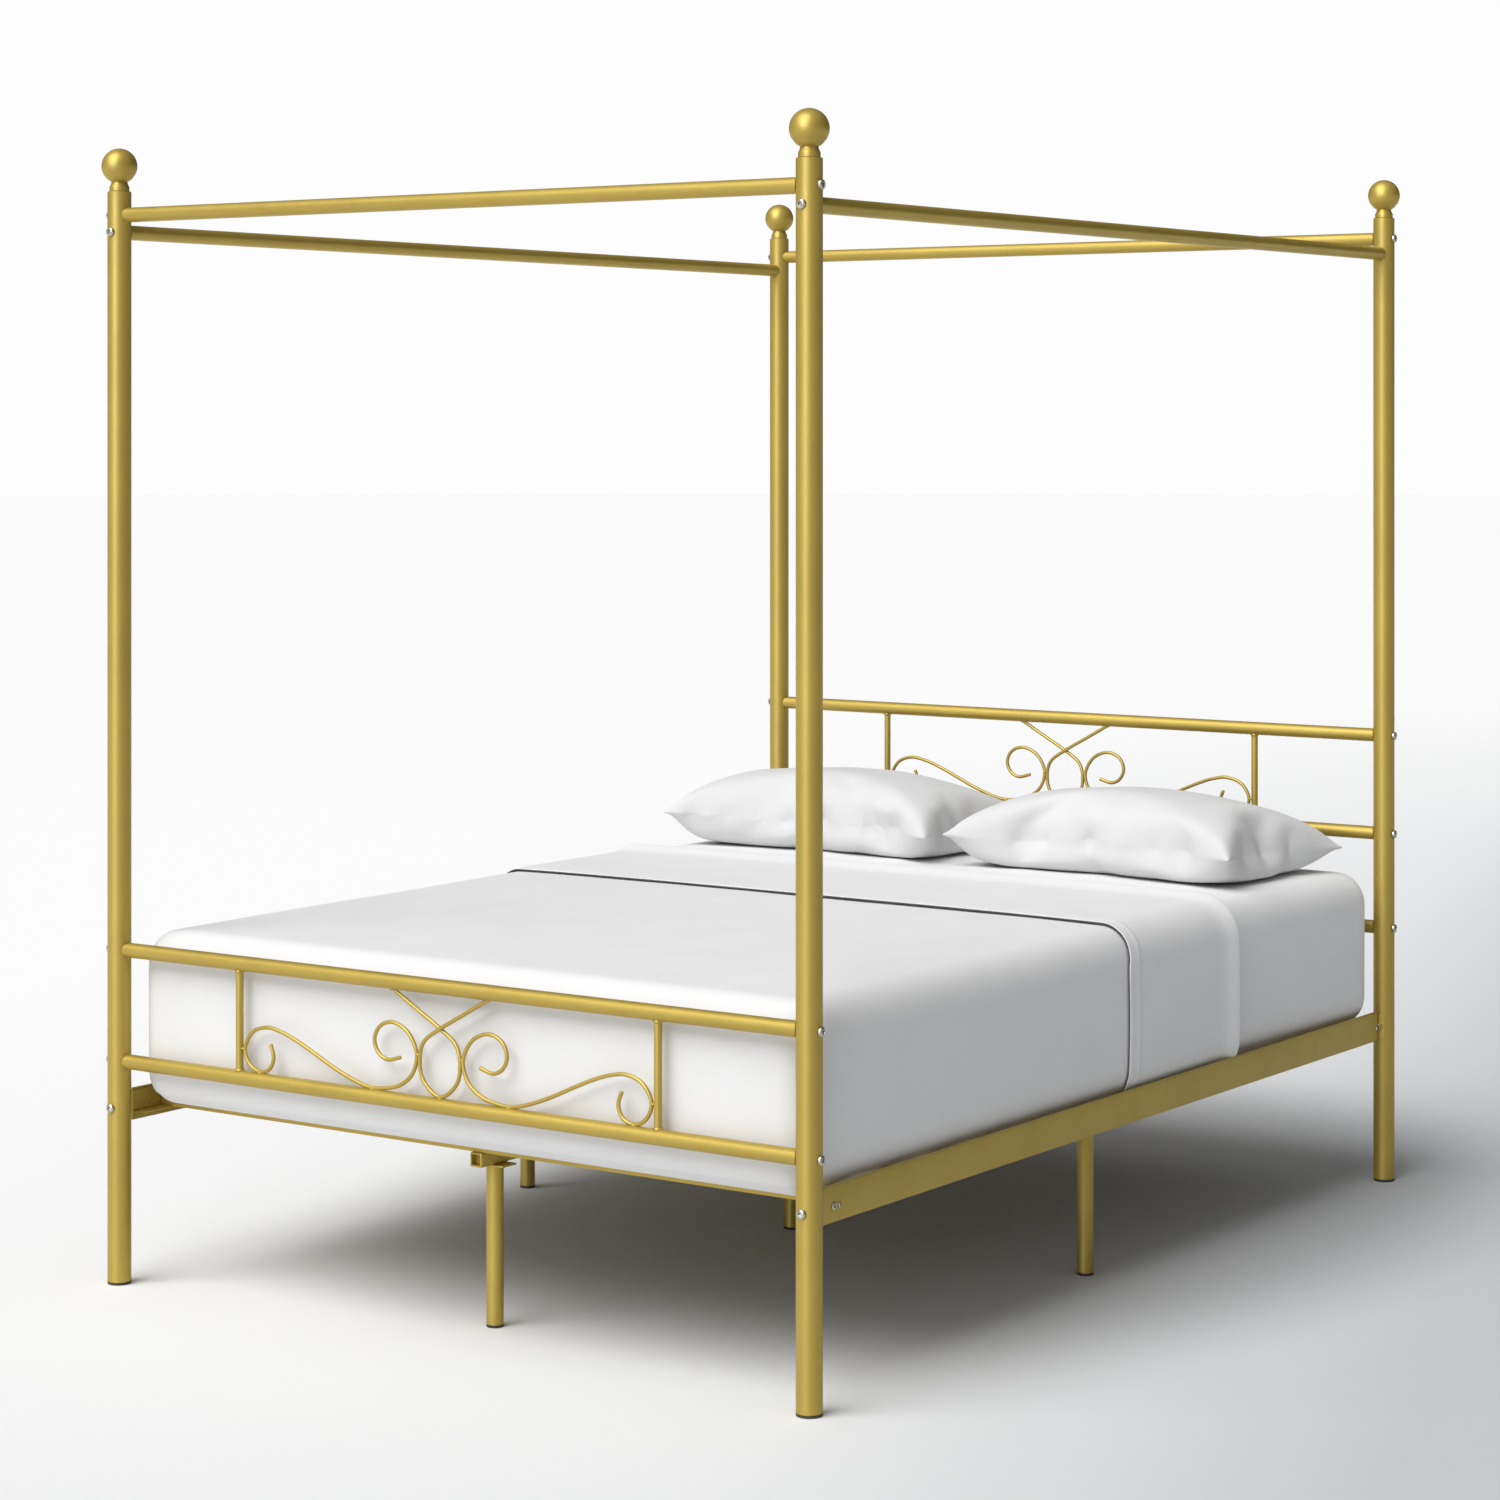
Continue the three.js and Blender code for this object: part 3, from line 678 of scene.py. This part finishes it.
class BED_OT_fasteners(bpy.types.Operator):
    """Make the socket bolts through the posts and the screws in the side rails"""
    bl_idname = "bed.fasteners"
    bl_label = "Bolts and Screws"

    def execute(self, context):
        post_radius = (POST_HIGH.x - POST_LOW.x) / 2
        for node in sorted(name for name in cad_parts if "_bolt_" in name):
            middle, axis, length = middle_and_axis(node)
            sign = math.copysign(1, middle.x if axis == "x" else middle.y)
            bolt = button_bolt(0.0078, 0.0050, 0.0039, length - 0.0044, 0.0033)
            seat = post_radius + FIT
            spot = (sign * (POST_X + seat), math.copysign(POST_Y, middle.y), middle.z)
            if axis == "y":
                spot = (math.copysign(POST_X, middle.x), sign * (POST_Y + seat), middle.z)
            keep_piece(node + "_socket_head", moved(bolt, spot, towards(axis, sign)),
                       nickel_steel(), "frame", [node])
        for name, side in (("left", -1), ("right", 1)):
            for label, (y, head) in RAIL_SCREWS.items():
                screw = button_bolt(head, 0.0024, 0.0026, 0.0060, head * 0.42)
                spot = (side * (POST_X + 0.0001), y, RAIL_SCREW_Z)
                keep_piece(f"{name}_{label}", moved(screw, spot, towards("x", side)),
                           nickel_steel(), "frame")
        return {"FINISHED"}


class BED_OT_platform(bpy.types.Operator):
    """Make the slats, the centre beam and the support legs"""
    bl_idname = "bed.platform"
    bl_label = "Slats, Beam and Legs"

    def execute(self, context):
        sizes, _ = scene_sizes()
        half, wall, lip = 0.020, 0.0014, 0.008
        strap_x, strap_width, strap_thickness = 0.350, 0.030, 0.0022
        low, high = SLAT_BOTTOM, DECK_HIGH.z
        section = [(half, high), (half, low), (half - lip, low), (half - lip, low + wall),
                   (half - wall, low + wall), (half - wall, high - wall)]
        section += [(-across, z) for across, z in reversed(section)]
        pitch = (DECK_HIGH.y - DECK_LOW.y - 2 * half) / (sizes.slats - 1)
        deck = bmesh.new()
        for i in range(sizes.slats):
            y = DECK_LOW.y + half + i * pitch
            outline = [(y + across, z) for across, z in section]
            merge(deck, extruded(outline, "x", DECK_LOW.x, DECK_HIGH.x, 0.0006, 2))
        for side in (-1, 1):
            slab((strap_width, DECK_HIGH.y - DECK_LOW.y - 0.020, strap_thickness),
                 (side * strap_x, 0, low - strap_thickness / 2), 0.0005, 2, deck)
        keep_gold("slat_platform", deck, "slat_deck")

        size = BEAM_HIGH - BEAM_LOW
        beam = slab(size, (0, 0, (BEAM_HIGH.z + BEAM_LOW.z) / 2), 0.0025, 4)
        ends = [face for face in beam.faces
                if abs(face.normal.y) > 0.9 and face.calc_area() > 1e-4]
        bmesh.ops.inset_region(beam, faces=ends, thickness=0.0008, depth=0.0)
        bmesh.ops.inset_region(beam, faces=ends, thickness=0.0006, depth=-0.012)
        keep_gold("centre_beam_tube", beam, "centre_beam")

        radius, cap, plate = 0.014, 0.0040, 0.003
        for node in ("centre_leg_foot", "centre_leg_middle", "centre_leg_head", "side_leg_left",
                     "side_leg_right"):
            low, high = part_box(node)
            middle = (low + high) / 2
            leg = turned(tube_outline(radius, 0.0015, cap + FIT, high.z - plate), 40, True)
            moved(leg, (middle.x, middle.y, 0))
            slab((0.060, 0.036, plate), (middle.x, middle.y, high.z - plate / 2), 0.0008, 2, leg)
            keep_gold(node + "_tube", leg, node)
            outline = [(0, 0), (radius - 0.0012, 0), (radius - 0.0003, 0.0004), (radius, 0.0012),
                       (radius, cap - 0.0003), (radius - 0.0003, cap), (0.0118, cap),
                       (0.0118, cap + 0.015), (0, cap + 0.015)]
            foot = moved(turned(outline, 40), (middle.x, middle.y, 0))
            keep_piece(node + "_cap", foot, foot_plastic(), "frame")
        return {"FINISHED"}


# ---- Bedding ----

def gridded_block(step):
    """Plain block over the mattress, cut into faces about `step` wide."""
    size = MATTRESS_HIGH - MATTRESS_LOW
    bm = bmesh.new()
    bmesh.ops.create_cube(bm, size=1.0)
    bmesh.ops.scale(bm, verts=bm.verts[:], vec=size)
    bmesh.ops.translate(bm, verts=bm.verts[:], vec=(MATTRESS_HIGH + MATTRESS_LOW) / 2)
    for axis in range(3):
        along = [edge for edge in bm.edges
                 if abs((edge.verts[0].co - edge.verts[1].co)[axis]) > size[axis] * 0.9]
        bmesh.ops.subdivide_edges(bm, edges=along, cuts=round(size[axis] / step) - 1,
                                  use_grid_fill=True)
    return bm


def bedding_point(spot, grow, sizes):
    """A point of the plain block moved to the rounded, swollen mattress, `grow` outside it."""
    half = (MATTRESS_HIGH - MATTRESS_LOW) / 2 - Vector((sizes.side_inset, 0, 0))
    centre = (MATTRESS_HIGH + MATTRESS_LOW) / 2
    radius = Vector((sizes.corner_round, sizes.corner_round, sizes.edge_round))
    local = spot - centre
    core = Vector([max(r - h, min(h - r, a)) for a, h, r in zip(local, half, radius)])
    lean = Vector([(a - c) / r for a, c, r in zip(local, core, radius)])
    lean.normalize()
    point = centre + core + Vector([d * (r + grow) for d, r in zip(lean, radius)])
    across, along = point.x / half.x, point.y / half.y
    level = 1 - ((point.z - centre.z) / half.z) ** 2
    shares = (max(0.0, 1 - across ** 4), max(0.0, 1 - along ** 4))
    point.z += sizes.crown * shares[0] * shares[1] * max(0.0, lean.z)
    point.x += sizes.swell * max(0.0, level) * lean.x * max(0.0, 1 - abs(along) ** 10)
    point.y += sizes.swell * max(0.0, level) * lean.y * max(0.0, 1 - abs(across) ** 10)
    return point, lean


def hem_lean(point, y, sizes):
    """How far the turned back end hangs towards the foot, down the sides of the mattress."""
    down = min(1.0, max(0.0, (MATTRESS_HIGH.z - 0.004 - point.z) / 0.070))
    near = min(1.0, max(0.0, (sizes.fold_y - y) / (sizes.fold_y - sizes.hem_y)))
    return sizes.hem_lean * (3 - 2 * down) * down ** 2 * near


class BED_OT_mattress(bpy.types.Operator):
    """Make the mattress in its fitted cotton cover"""
    bl_idname = "bed.mattress"
    bl_label = "Mattress"

    def execute(self, context):
        _, sizes = scene_sizes()
        bm = gridded_block(sizes.grid)
        for vert in bm.verts:
            point, lean = bedding_point(vert.co, 0.0, sizes)
            ripple = noise.noise(Vector((point.x * 5, point.y * 3, point.z * 7)))
            ripple += 0.5 * noise.noise(Vector((point.x * 14, point.y * 6, point.z * 12)))
            loose = 0.0007 if point.z > MATTRESS_LOW.z + 0.02 else 0.0
            vert.co = point + lean * ripple * loose
            clear = min(1.0, max(0.0, (point.y - sizes.fold_y - 0.08) / 0.45))
            vert.co.x -= sizes.cover_inset * lean.x * (1 - 2.2 * clear)
            vert.co.y += 0.006 * max(0.0, lean.y)
        face_outwards(bm)
        piece = keep_piece("mattress_padded", bm, mattress_cotton(), "mattress",
                           ["mattress"], sharp=0)
        return {"FINISHED"}


class BED_OT_top_sheet(bpy.types.Operator):
    """Make the top sheet with its turned back end, piped hem and stitching"""
    bl_idname = "bed.top_sheet"
    bl_label = "Top Sheet"

    def execute(self, context):
        _, sizes = scene_sizes()
        lower, upper = 0.0016, 0.0068
        seam = sizes.hem_y + 0.026
        bm = gridded_block(sizes.grid)
        tucked = MATTRESS_LOW.z + 0.008

        def cut(spot, direction, clear):
            bmesh.ops.bisect_plane(bm, geom=bm.verts[:] + bm.edges[:] + bm.faces[:], dist=1e-5,
                                   plane_co=spot, plane_no=direction, clear_outer=clear)

        cut((0, 0, tucked), (0, 0, -1), True)
        cut((0, sizes.fold_y, 0), (0, 1, 0), True)
        for y in (sizes.hem_y, sizes.hem_y + 0.004, seam - 0.003, seam, seam + 0.003,
                  sizes.fold_y - 0.005):
            cut((0, y, 0), (0, 1, 0), False)
        layer = bm.verts.layers.float.new("layer")
        band = [face for face in bm.faces if face.calc_center_median().y > sizes.hem_y]
        copied = bmesh.ops.duplicate(bm, geom=band)["geom"]
        for vert in verts_in(copied):
            vert[layer] = 1.0
        rim = [edge for edge in boundary(bm)
               if all(abs(v.co.y - sizes.fold_y) < 1e-4 and v[layer] == 0 for v in edge.verts)]
        turns = 6
        for share in ((turn + 1) / turns for turn in range(turns)):
            grown = bmesh.ops.extrude_edge_only(bm, edges=rim)["geom"]
            for vert in verts_in(grown):
                vert[layer] = share
            rim = [g for g in grown if isinstance(g, bmesh.types.BMEdge)
                   and all(abs(v[layer] - share) < 1e-4 for v in g.verts)]
        for vert in bm.verts:
            share = vert[layer]
            y = vert.co.y
            grow = lower + (upper - lower) * (1 - math.cos(math.pi * share)) / 2
            if share > 0.99:
                grow += 0.0009 * math.exp(-((y - seam) / 0.0025) ** 2)
            grow += sizes.fold_puff * share * math.exp(-((y - sizes.fold_y) / 0.023) ** 2)
            point, lean = bedding_point(vert.co, grow, sizes)
            point.y += 0.0060 * math.sin(math.pi * share) - share * hem_lean(point, y, sizes)
            slack = noise.noise(Vector((point.x * 3.1, point.y * 2.3, point.z * 4 + 7)))
            slack += 0.4 * noise.noise(Vector((point.x * 9, point.y * 7, point.z * 9)))
            vert.co = point + lean * max(-0.0008, 0.0010 * slack)
        tidy(bm)
        bmesh.ops.solidify(bm, geom=bm.faces[:], thickness=sizes.sheet_thickness)
        face_outwards(bm)
        piece = keep_piece("top_sheet_cotton", bm, sheet_cotton(), "mattress",
                           ["top_sheet"], sharp=60)

        side = MATTRESS_HIGH.x
        # The white piping along the hem, and under it a dark cord painted in as the shadow of the
        # crevice under the hem.
        for name, back, lift, radius, material in (
                ("top_sheet_piping", 0.0006, 0.0, 0.0017, sheet_cotton()),
                ("top_sheet_trim", 0.0034, -0.0012, 0.0013, shadow_cord_cotton())):
            route = []
            for start, end in (((-side, tucked), (-side, MATTRESS_HIGH.z)),
                               ((-side, MATTRESS_HIGH.z), (side, MATTRESS_HIGH.z)),
                               ((side, MATTRESS_HIGH.z), (side, tucked))):
                steps = round(math.dist(start, end) / 0.009)
                for i in range(steps):
                    x, z = (a + (b - a) * i / steps for a, b in zip(start, end))
                    spot = Vector((x, sizes.hem_y - back, z))
                    point, lean = bedding_point(spot, upper + lift, sizes)
                    # The dark cord, painted shadow of the crevice under the hem, slips under the
                    # piping where the hem hangs down the sides.
                    point.y -= hem_lean(point, spot.y, sizes)
                    point.y += (back - 0.0006) * 0.85 * (1 - max(0.0, lean.z) ** 0.5)
                    route.append(point)
            cord = bmesh.new()
            add_wire(cord, route, radius, 0.0005)
            keep_piece(name, cord, material, "mattress")
        return {"FINISHED"}


def inflate(mesh_object, frames, pressure):
    """Blows a closed case up with a cloth simulation and keeps the result in its mesh."""
    cloth = mesh_object.modifiers.new("cloth", "CLOTH")
    settings = cloth.settings
    settings.quality = 6
    settings.mass = 0.25
    settings.tension_stiffness = settings.compression_stiffness = 60
    settings.shear_stiffness = 20
    settings.bending_stiffness = 1.2
    settings.tension_damping = settings.compression_damping = settings.shear_damping = 15
    settings.air_damping = 4
    settings.use_pressure = True
    settings.uniform_pressure_force = pressure
    settings.effector_weights.gravity = 0
    cloth.collision_settings.use_collision = False
    scene = bpy.context.scene
    for number in range(1, frames + 1):
        scene.frame_set(number)
    depsgraph = bpy.context.evaluated_depsgraph_get()
    result = bpy.data.meshes.new_from_object(mesh_object.evaluated_get(depsgraph))
    mesh_object.modifiers.clear()
    scene.frame_set(1)
    return result


def pillow_case(length, depth, step, thick=0.0018):
    """Flat closed case of two panels joined by a narrow seam strip, marked in a face layer."""
    bm = bmesh.new()
    bmesh.ops.create_grid(bm, x_segments=round(length / step), y_segments=round(depth / step),
                          size=0.5)
    bmesh.ops.scale(bm, verts=bm.verts[:], vec=Vector((length, depth, 1)))
    grown = bmesh.ops.extrude_face_region(bm, geom=bm.faces[:], use_keep_orig=True)["geom"]
    bmesh.ops.translate(bm, verts=verts_in(grown), vec=(0, 0, thick))
    tidy(bm, 1e-5)
    seam = bm.faces.layers.int.new("seam")
    for face in bm.faces:
        face[seam] = abs(face.normal.z) < 0.5
    return bm


def settle(bm, sizes, slope):
    """Softens a blown case, rests its underside flat and pushes out its belly."""
    seam = bm.faces.layers.int["seam"]
    strip = [face for face in bm.faces if face[seam]]
    edge_verts = {vert for face in strip for vert in face.verts}
    panels = [vert for vert in bm.verts if vert not in edge_verts]
    for _ in range(11):
        bmesh.ops.smooth_vert(bm, verts=panels, factor=0.5, use_axis_x=True, use_axis_y=True,
                              use_axis_z=True)
    loft = max(vert.co.z for vert in bm.verts)
    sink = min(vert.co.z for vert in bm.verts)
    half = Vector((max(vert.co.x for vert in bm.verts), max(vert.co.y for vert in bm.verts)))
    for vert in bm.verts:
        x, y, z = vert.co
        if z > 0:
            vert.co.z = (z / loft) ** 0.72 * sizes.pillow_loft + x * slope[0] + y * slope[1]
            continue
        share = min(1.0, 1.4 * z / sink)
        push = Vector((x / half.x ** 2, y / half.y ** 2)).normalized()
        near = min(1.0, max(abs(x) / half.x, abs(y) / half.y) * 1.25) ** 3
        near *= 1 - abs(x / half.x * y / half.y) ** 1.2
        push *= sizes.pillow_belly * math.sin(math.pi * share * 0.86) * near
        sunk = math.sin(math.pi / 2 * share)
        tilt = (x * slope[0] + y * slope[1]) * (1 - sunk)
        vert.co = (x + push.x, y + push.y, tilt - sizes.pillow_seam * sunk)


class BED_OT_pillows(bpy.types.Operator):
    """Make the two pillows, blown up as cloth and settled on the mattress"""
    bl_idname = "bed.pillows"
    bl_label = "Pillows"

    def execute(self, context):
        _, sizes = scene_sizes()
        step = 0.0085
        bed_top = MATTRESS_HIGH.z + 0.0045
        for node, (shift, turn, slope) in PILLOW_PLACES.items():
            low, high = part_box(node)
            middle = (low + high) / 2 + Vector((*shift, 0))
            case = pillow_case(sizes.pillow_length, sizes.pillow_depth, step)
            mesh = bpy.data.meshes.new("case")
            case.to_mesh(mesh)
            case.free()
            holder = bpy.data.objects.new("case", mesh)
            context.scene.collection.objects.link(holder)
            blown = inflate(holder, 24, 6.0)
            bpy.data.objects.remove(holder)
            bm = bmesh.new()
            bm.from_mesh(blown)
            bpy.data.meshes.remove(blown)
            settle(bm, sizes, slope)
            moved(bm, (middle.x, middle.y, bed_top + sizes.pillow_seam),
                  Euler((0, 0, math.radians(turn))).to_matrix())
            face_outwards(bm)
            piece = keep_piece(node + "_case", bm, pillow_cotton(), node,
                               [node], sharp=0)
            smooth = piece.modifiers.new("soften", "SUBSURF")
            smooth.levels = smooth.render_levels = 1
        return {"FINISHED"}


# ---- Stage ----

def add_sun(name, strength, degrees, direction):
    """Adds a sun that shines from a direction, its disc some degrees wide."""
    data = bpy.data.lights.new(name, "SUN")
    data.energy = strength
    data.angle = math.radians(degrees)
    sun = bpy.data.objects.new(name, data)
    sun.rotation_euler = Vector(direction).to_track_quat("Z", "Y").to_euler()
    bpy.context.scene.collection.objects.link(sun)
    return sun


class BED_OT_stage(bpy.types.Operator):
    """Make the floor, the lights and the camera"""
    bl_idname = "bed.stage"
    bl_label = "Studio"

    def execute(self, context):
        scene = context.scene
        studio = scene.bed_studio
        for name in ("Cube", "Light", "Camera"):
            if name in bpy.data.objects:
                bpy.data.objects.remove(bpy.data.objects[name])
        scene.view_settings.view_transform = "Standard"

        bm = bmesh.new()
        bmesh.ops.create_circle(bm, cap_ends=True, cap_tris=False, radius=60, segments=64)
        mesh = bpy.data.meshes.new("floor")
        bm.to_mesh(mesh)
        bm.free()
        floor = bpy.data.objects.new("floor", mesh)
        scene.collection.objects.link(floor)
        made, tree, place = blank_material("floor_paper")
        # Painted shade: the paper's colour greys from the bright floor colour on the left to the
        # painted shade colour on the right of the bed, standing in for the light falling off
        # there, and turns back to the bright colour far away.
        split = add_node(tree, "SeparateXYZ", {0: place})
        slope = add_node(tree, "Math", {0: split.outputs[1], 1: 0.3, 2: split.outputs[0]},
                         operation="MULTIPLY_ADD").outputs[0]
        shade = spread(tree, slope, 0.0, 1.0, -2.8, 1.3)
        ramp = add_node(tree, "ValToRGB", {"Fac": shade})
        bright, painted_shade_colour = Vector(studio.floor), Vector(studio.floor_painted_shade)
        stops = ((0.0, 0.0), (0.42, 0.20), (0.78, 0.42), (1.0, 1.0))
        for _ in stops[2:]:
            ramp.color_ramp.elements.new(0.5)
        for stop, (position, share) in zip(ramp.color_ramp.elements, stops):
            stop.position = position
            stop.color = (*bright.lerp(painted_shade_colour, share), 1)
        reach = add_node(tree, "VectorMath", {0: place}, operation="LENGTH")
        far = spread(tree, reach.outputs["Value"], 0.0, 1.0, 4.0, 14.0, "SMOOTHSTEP")
        paper = add_node(tree, "Mix", {0: far, 6: ramp.outputs[0], 7: (*bright, 1)},
                         data_type="RGBA").outputs[2]
        # Painted shadow: the paper is painted a little darker under the bed and just behind its
        # right-hand side.
        under = add_node(tree, "Mapping", {
            "Vector": place, "Location": (-0.105, -0.32, 0), "Scale": (1.05, 0.80, 1)}).outputs[0]
        away = add_node(tree, "VectorMath", {0: under}, operation="LENGTH")
        dim = spread(tree, away.outputs["Value"], 0.70, 1.0, 0.75, 1.2, "SMOOTHSTEP")
        paper = add_node(tree, "VectorMath", {0: paper, "Scale": dim},
                         operation="SCALE").outputs[0]
        finish_with(tree, {"Base Color": paper, "Roughness": 0.9, "Specular IOR Level": 0.1})
        mesh.materials.append(made)

        world = bpy.data.worlds.new("studio")
        scene.world = world
        world.use_nodes = True
        tree = world.node_tree
        tree.nodes.clear()
        heading = add_node(tree, "TexCoord").outputs["Generated"]
        side = add_node(tree, "VectorMath", {0: heading, 1: (-0.05, -0.70, 0.70)},
                        operation="DOT_PRODUCT").outputs["Value"]
        strength = spread(tree, side, studio.fill_dim, studio.fill_bright, -0.5, 0.9,
                          "SMOOTHSTEP")
        fill = add_node(tree, "Background",
                        {"Color": (1.0, 1.0, 1.0, 1), "Strength": strength})
        seen = add_node(tree, "Background",
                        {"Color": (0.985, 0.985, 0.985, 1), "Strength": 1.0})
        ray = add_node(tree, "LightPath").outputs["Is Camera Ray"]
        mix = add_node(tree, "MixShader",
                       {0: ray, 1: fill.outputs[0], 2: seen.outputs[0]})
        add_node(tree, "OutputWorld", {"Surface": mix.outputs[0]})

        add_sun("key", studio.key_strength, 48, (-0.13, -0.58, 0.80))
        front = add_sun("front", studio.front_strength, 40, (0.0, -0.94, 0.34))
        front.data.color = (0.94, 1.0, 1.45)
        front.visible_diffuse = False  # only a highlight on the paint

        camera_data = bpy.data.cameras.new("camera")
        camera_data.lens = studio.lens
        camera_data.sensor_width = 36
        camera_data.shift_y = -0.2234
        camera_data.clip_end = 200
        camera = bpy.data.objects.new("camera", camera_data)
        camera.location = (3.63895, -5.35175, 1.46613)
        camera.rotation_euler = (math.pi / 2, 0, math.radians(34.876))
        scene.collection.objects.link(camera)
        scene.camera = camera
        return {"FINISHED"}


# ---- Sidebar ----

OPERATORS = (BED_OT_stage, BED_OT_posts, BED_OT_rails, BED_OT_scroll_panels, BED_OT_side_rails,
             BED_OT_fasteners, BED_OT_platform, BED_OT_mattress, BED_OT_top_sheet,
             BED_OT_pillows)
GROUPS = {"bed_frame_sizes": BedFrameSizes, "bedding_sizes": BeddingSizes,
          "bed_finishes": BedFinishes, "bed_studio": BedStudio}


class BED_PT_sidebar(bpy.types.Panel):
    """Lists the bed's sizes, finishes and pieces"""
    bl_idname = "BED_PT_sidebar"
    bl_label = "Canopy Bed"
    bl_space_type = "VIEW_3D"
    bl_region_type = "UI"
    bl_category = "Canopy Bed"

    def draw(self, context):
        for group, kind in GROUPS.items():
            column = self.layout.column(align=True)
            for name in kind.__annotations__:
                column.prop(getattr(context.scene, group), name)
        for operator in OPERATORS:
            self.layout.operator(operator.bl_idname)


def register():
    for kind in (*GROUPS.values(), *OPERATORS, BED_PT_sidebar):
        bpy.utils.register_class(kind)
    for name, kind in GROUPS.items():
        setattr(bpy.types.Scene, name, bpy.props.PointerProperty(type=kind))


def unregister():
    for name in GROUPS:
        delattr(bpy.types.Scene, name)
    for kind in (BED_PT_sidebar, *reversed(OPERATORS), *reversed(list(GROUPS.values()))):
        bpy.utils.unregister_class(kind)


def main():
    register()
    bpy.ops.bed.stage()
    bpy.ops.bed.posts()
    bpy.ops.bed.rails()
    bpy.ops.bed.scroll_panels()
    bpy.ops.bed.side_rails()
    bpy.ops.bed.fasteners()
    bpy.ops.bed.platform()
    bpy.ops.bed.mattress()
    bpy.ops.bed.top_sheet()
    bpy.ops.bed.pillows()


if __name__ == "__main__":
    main()
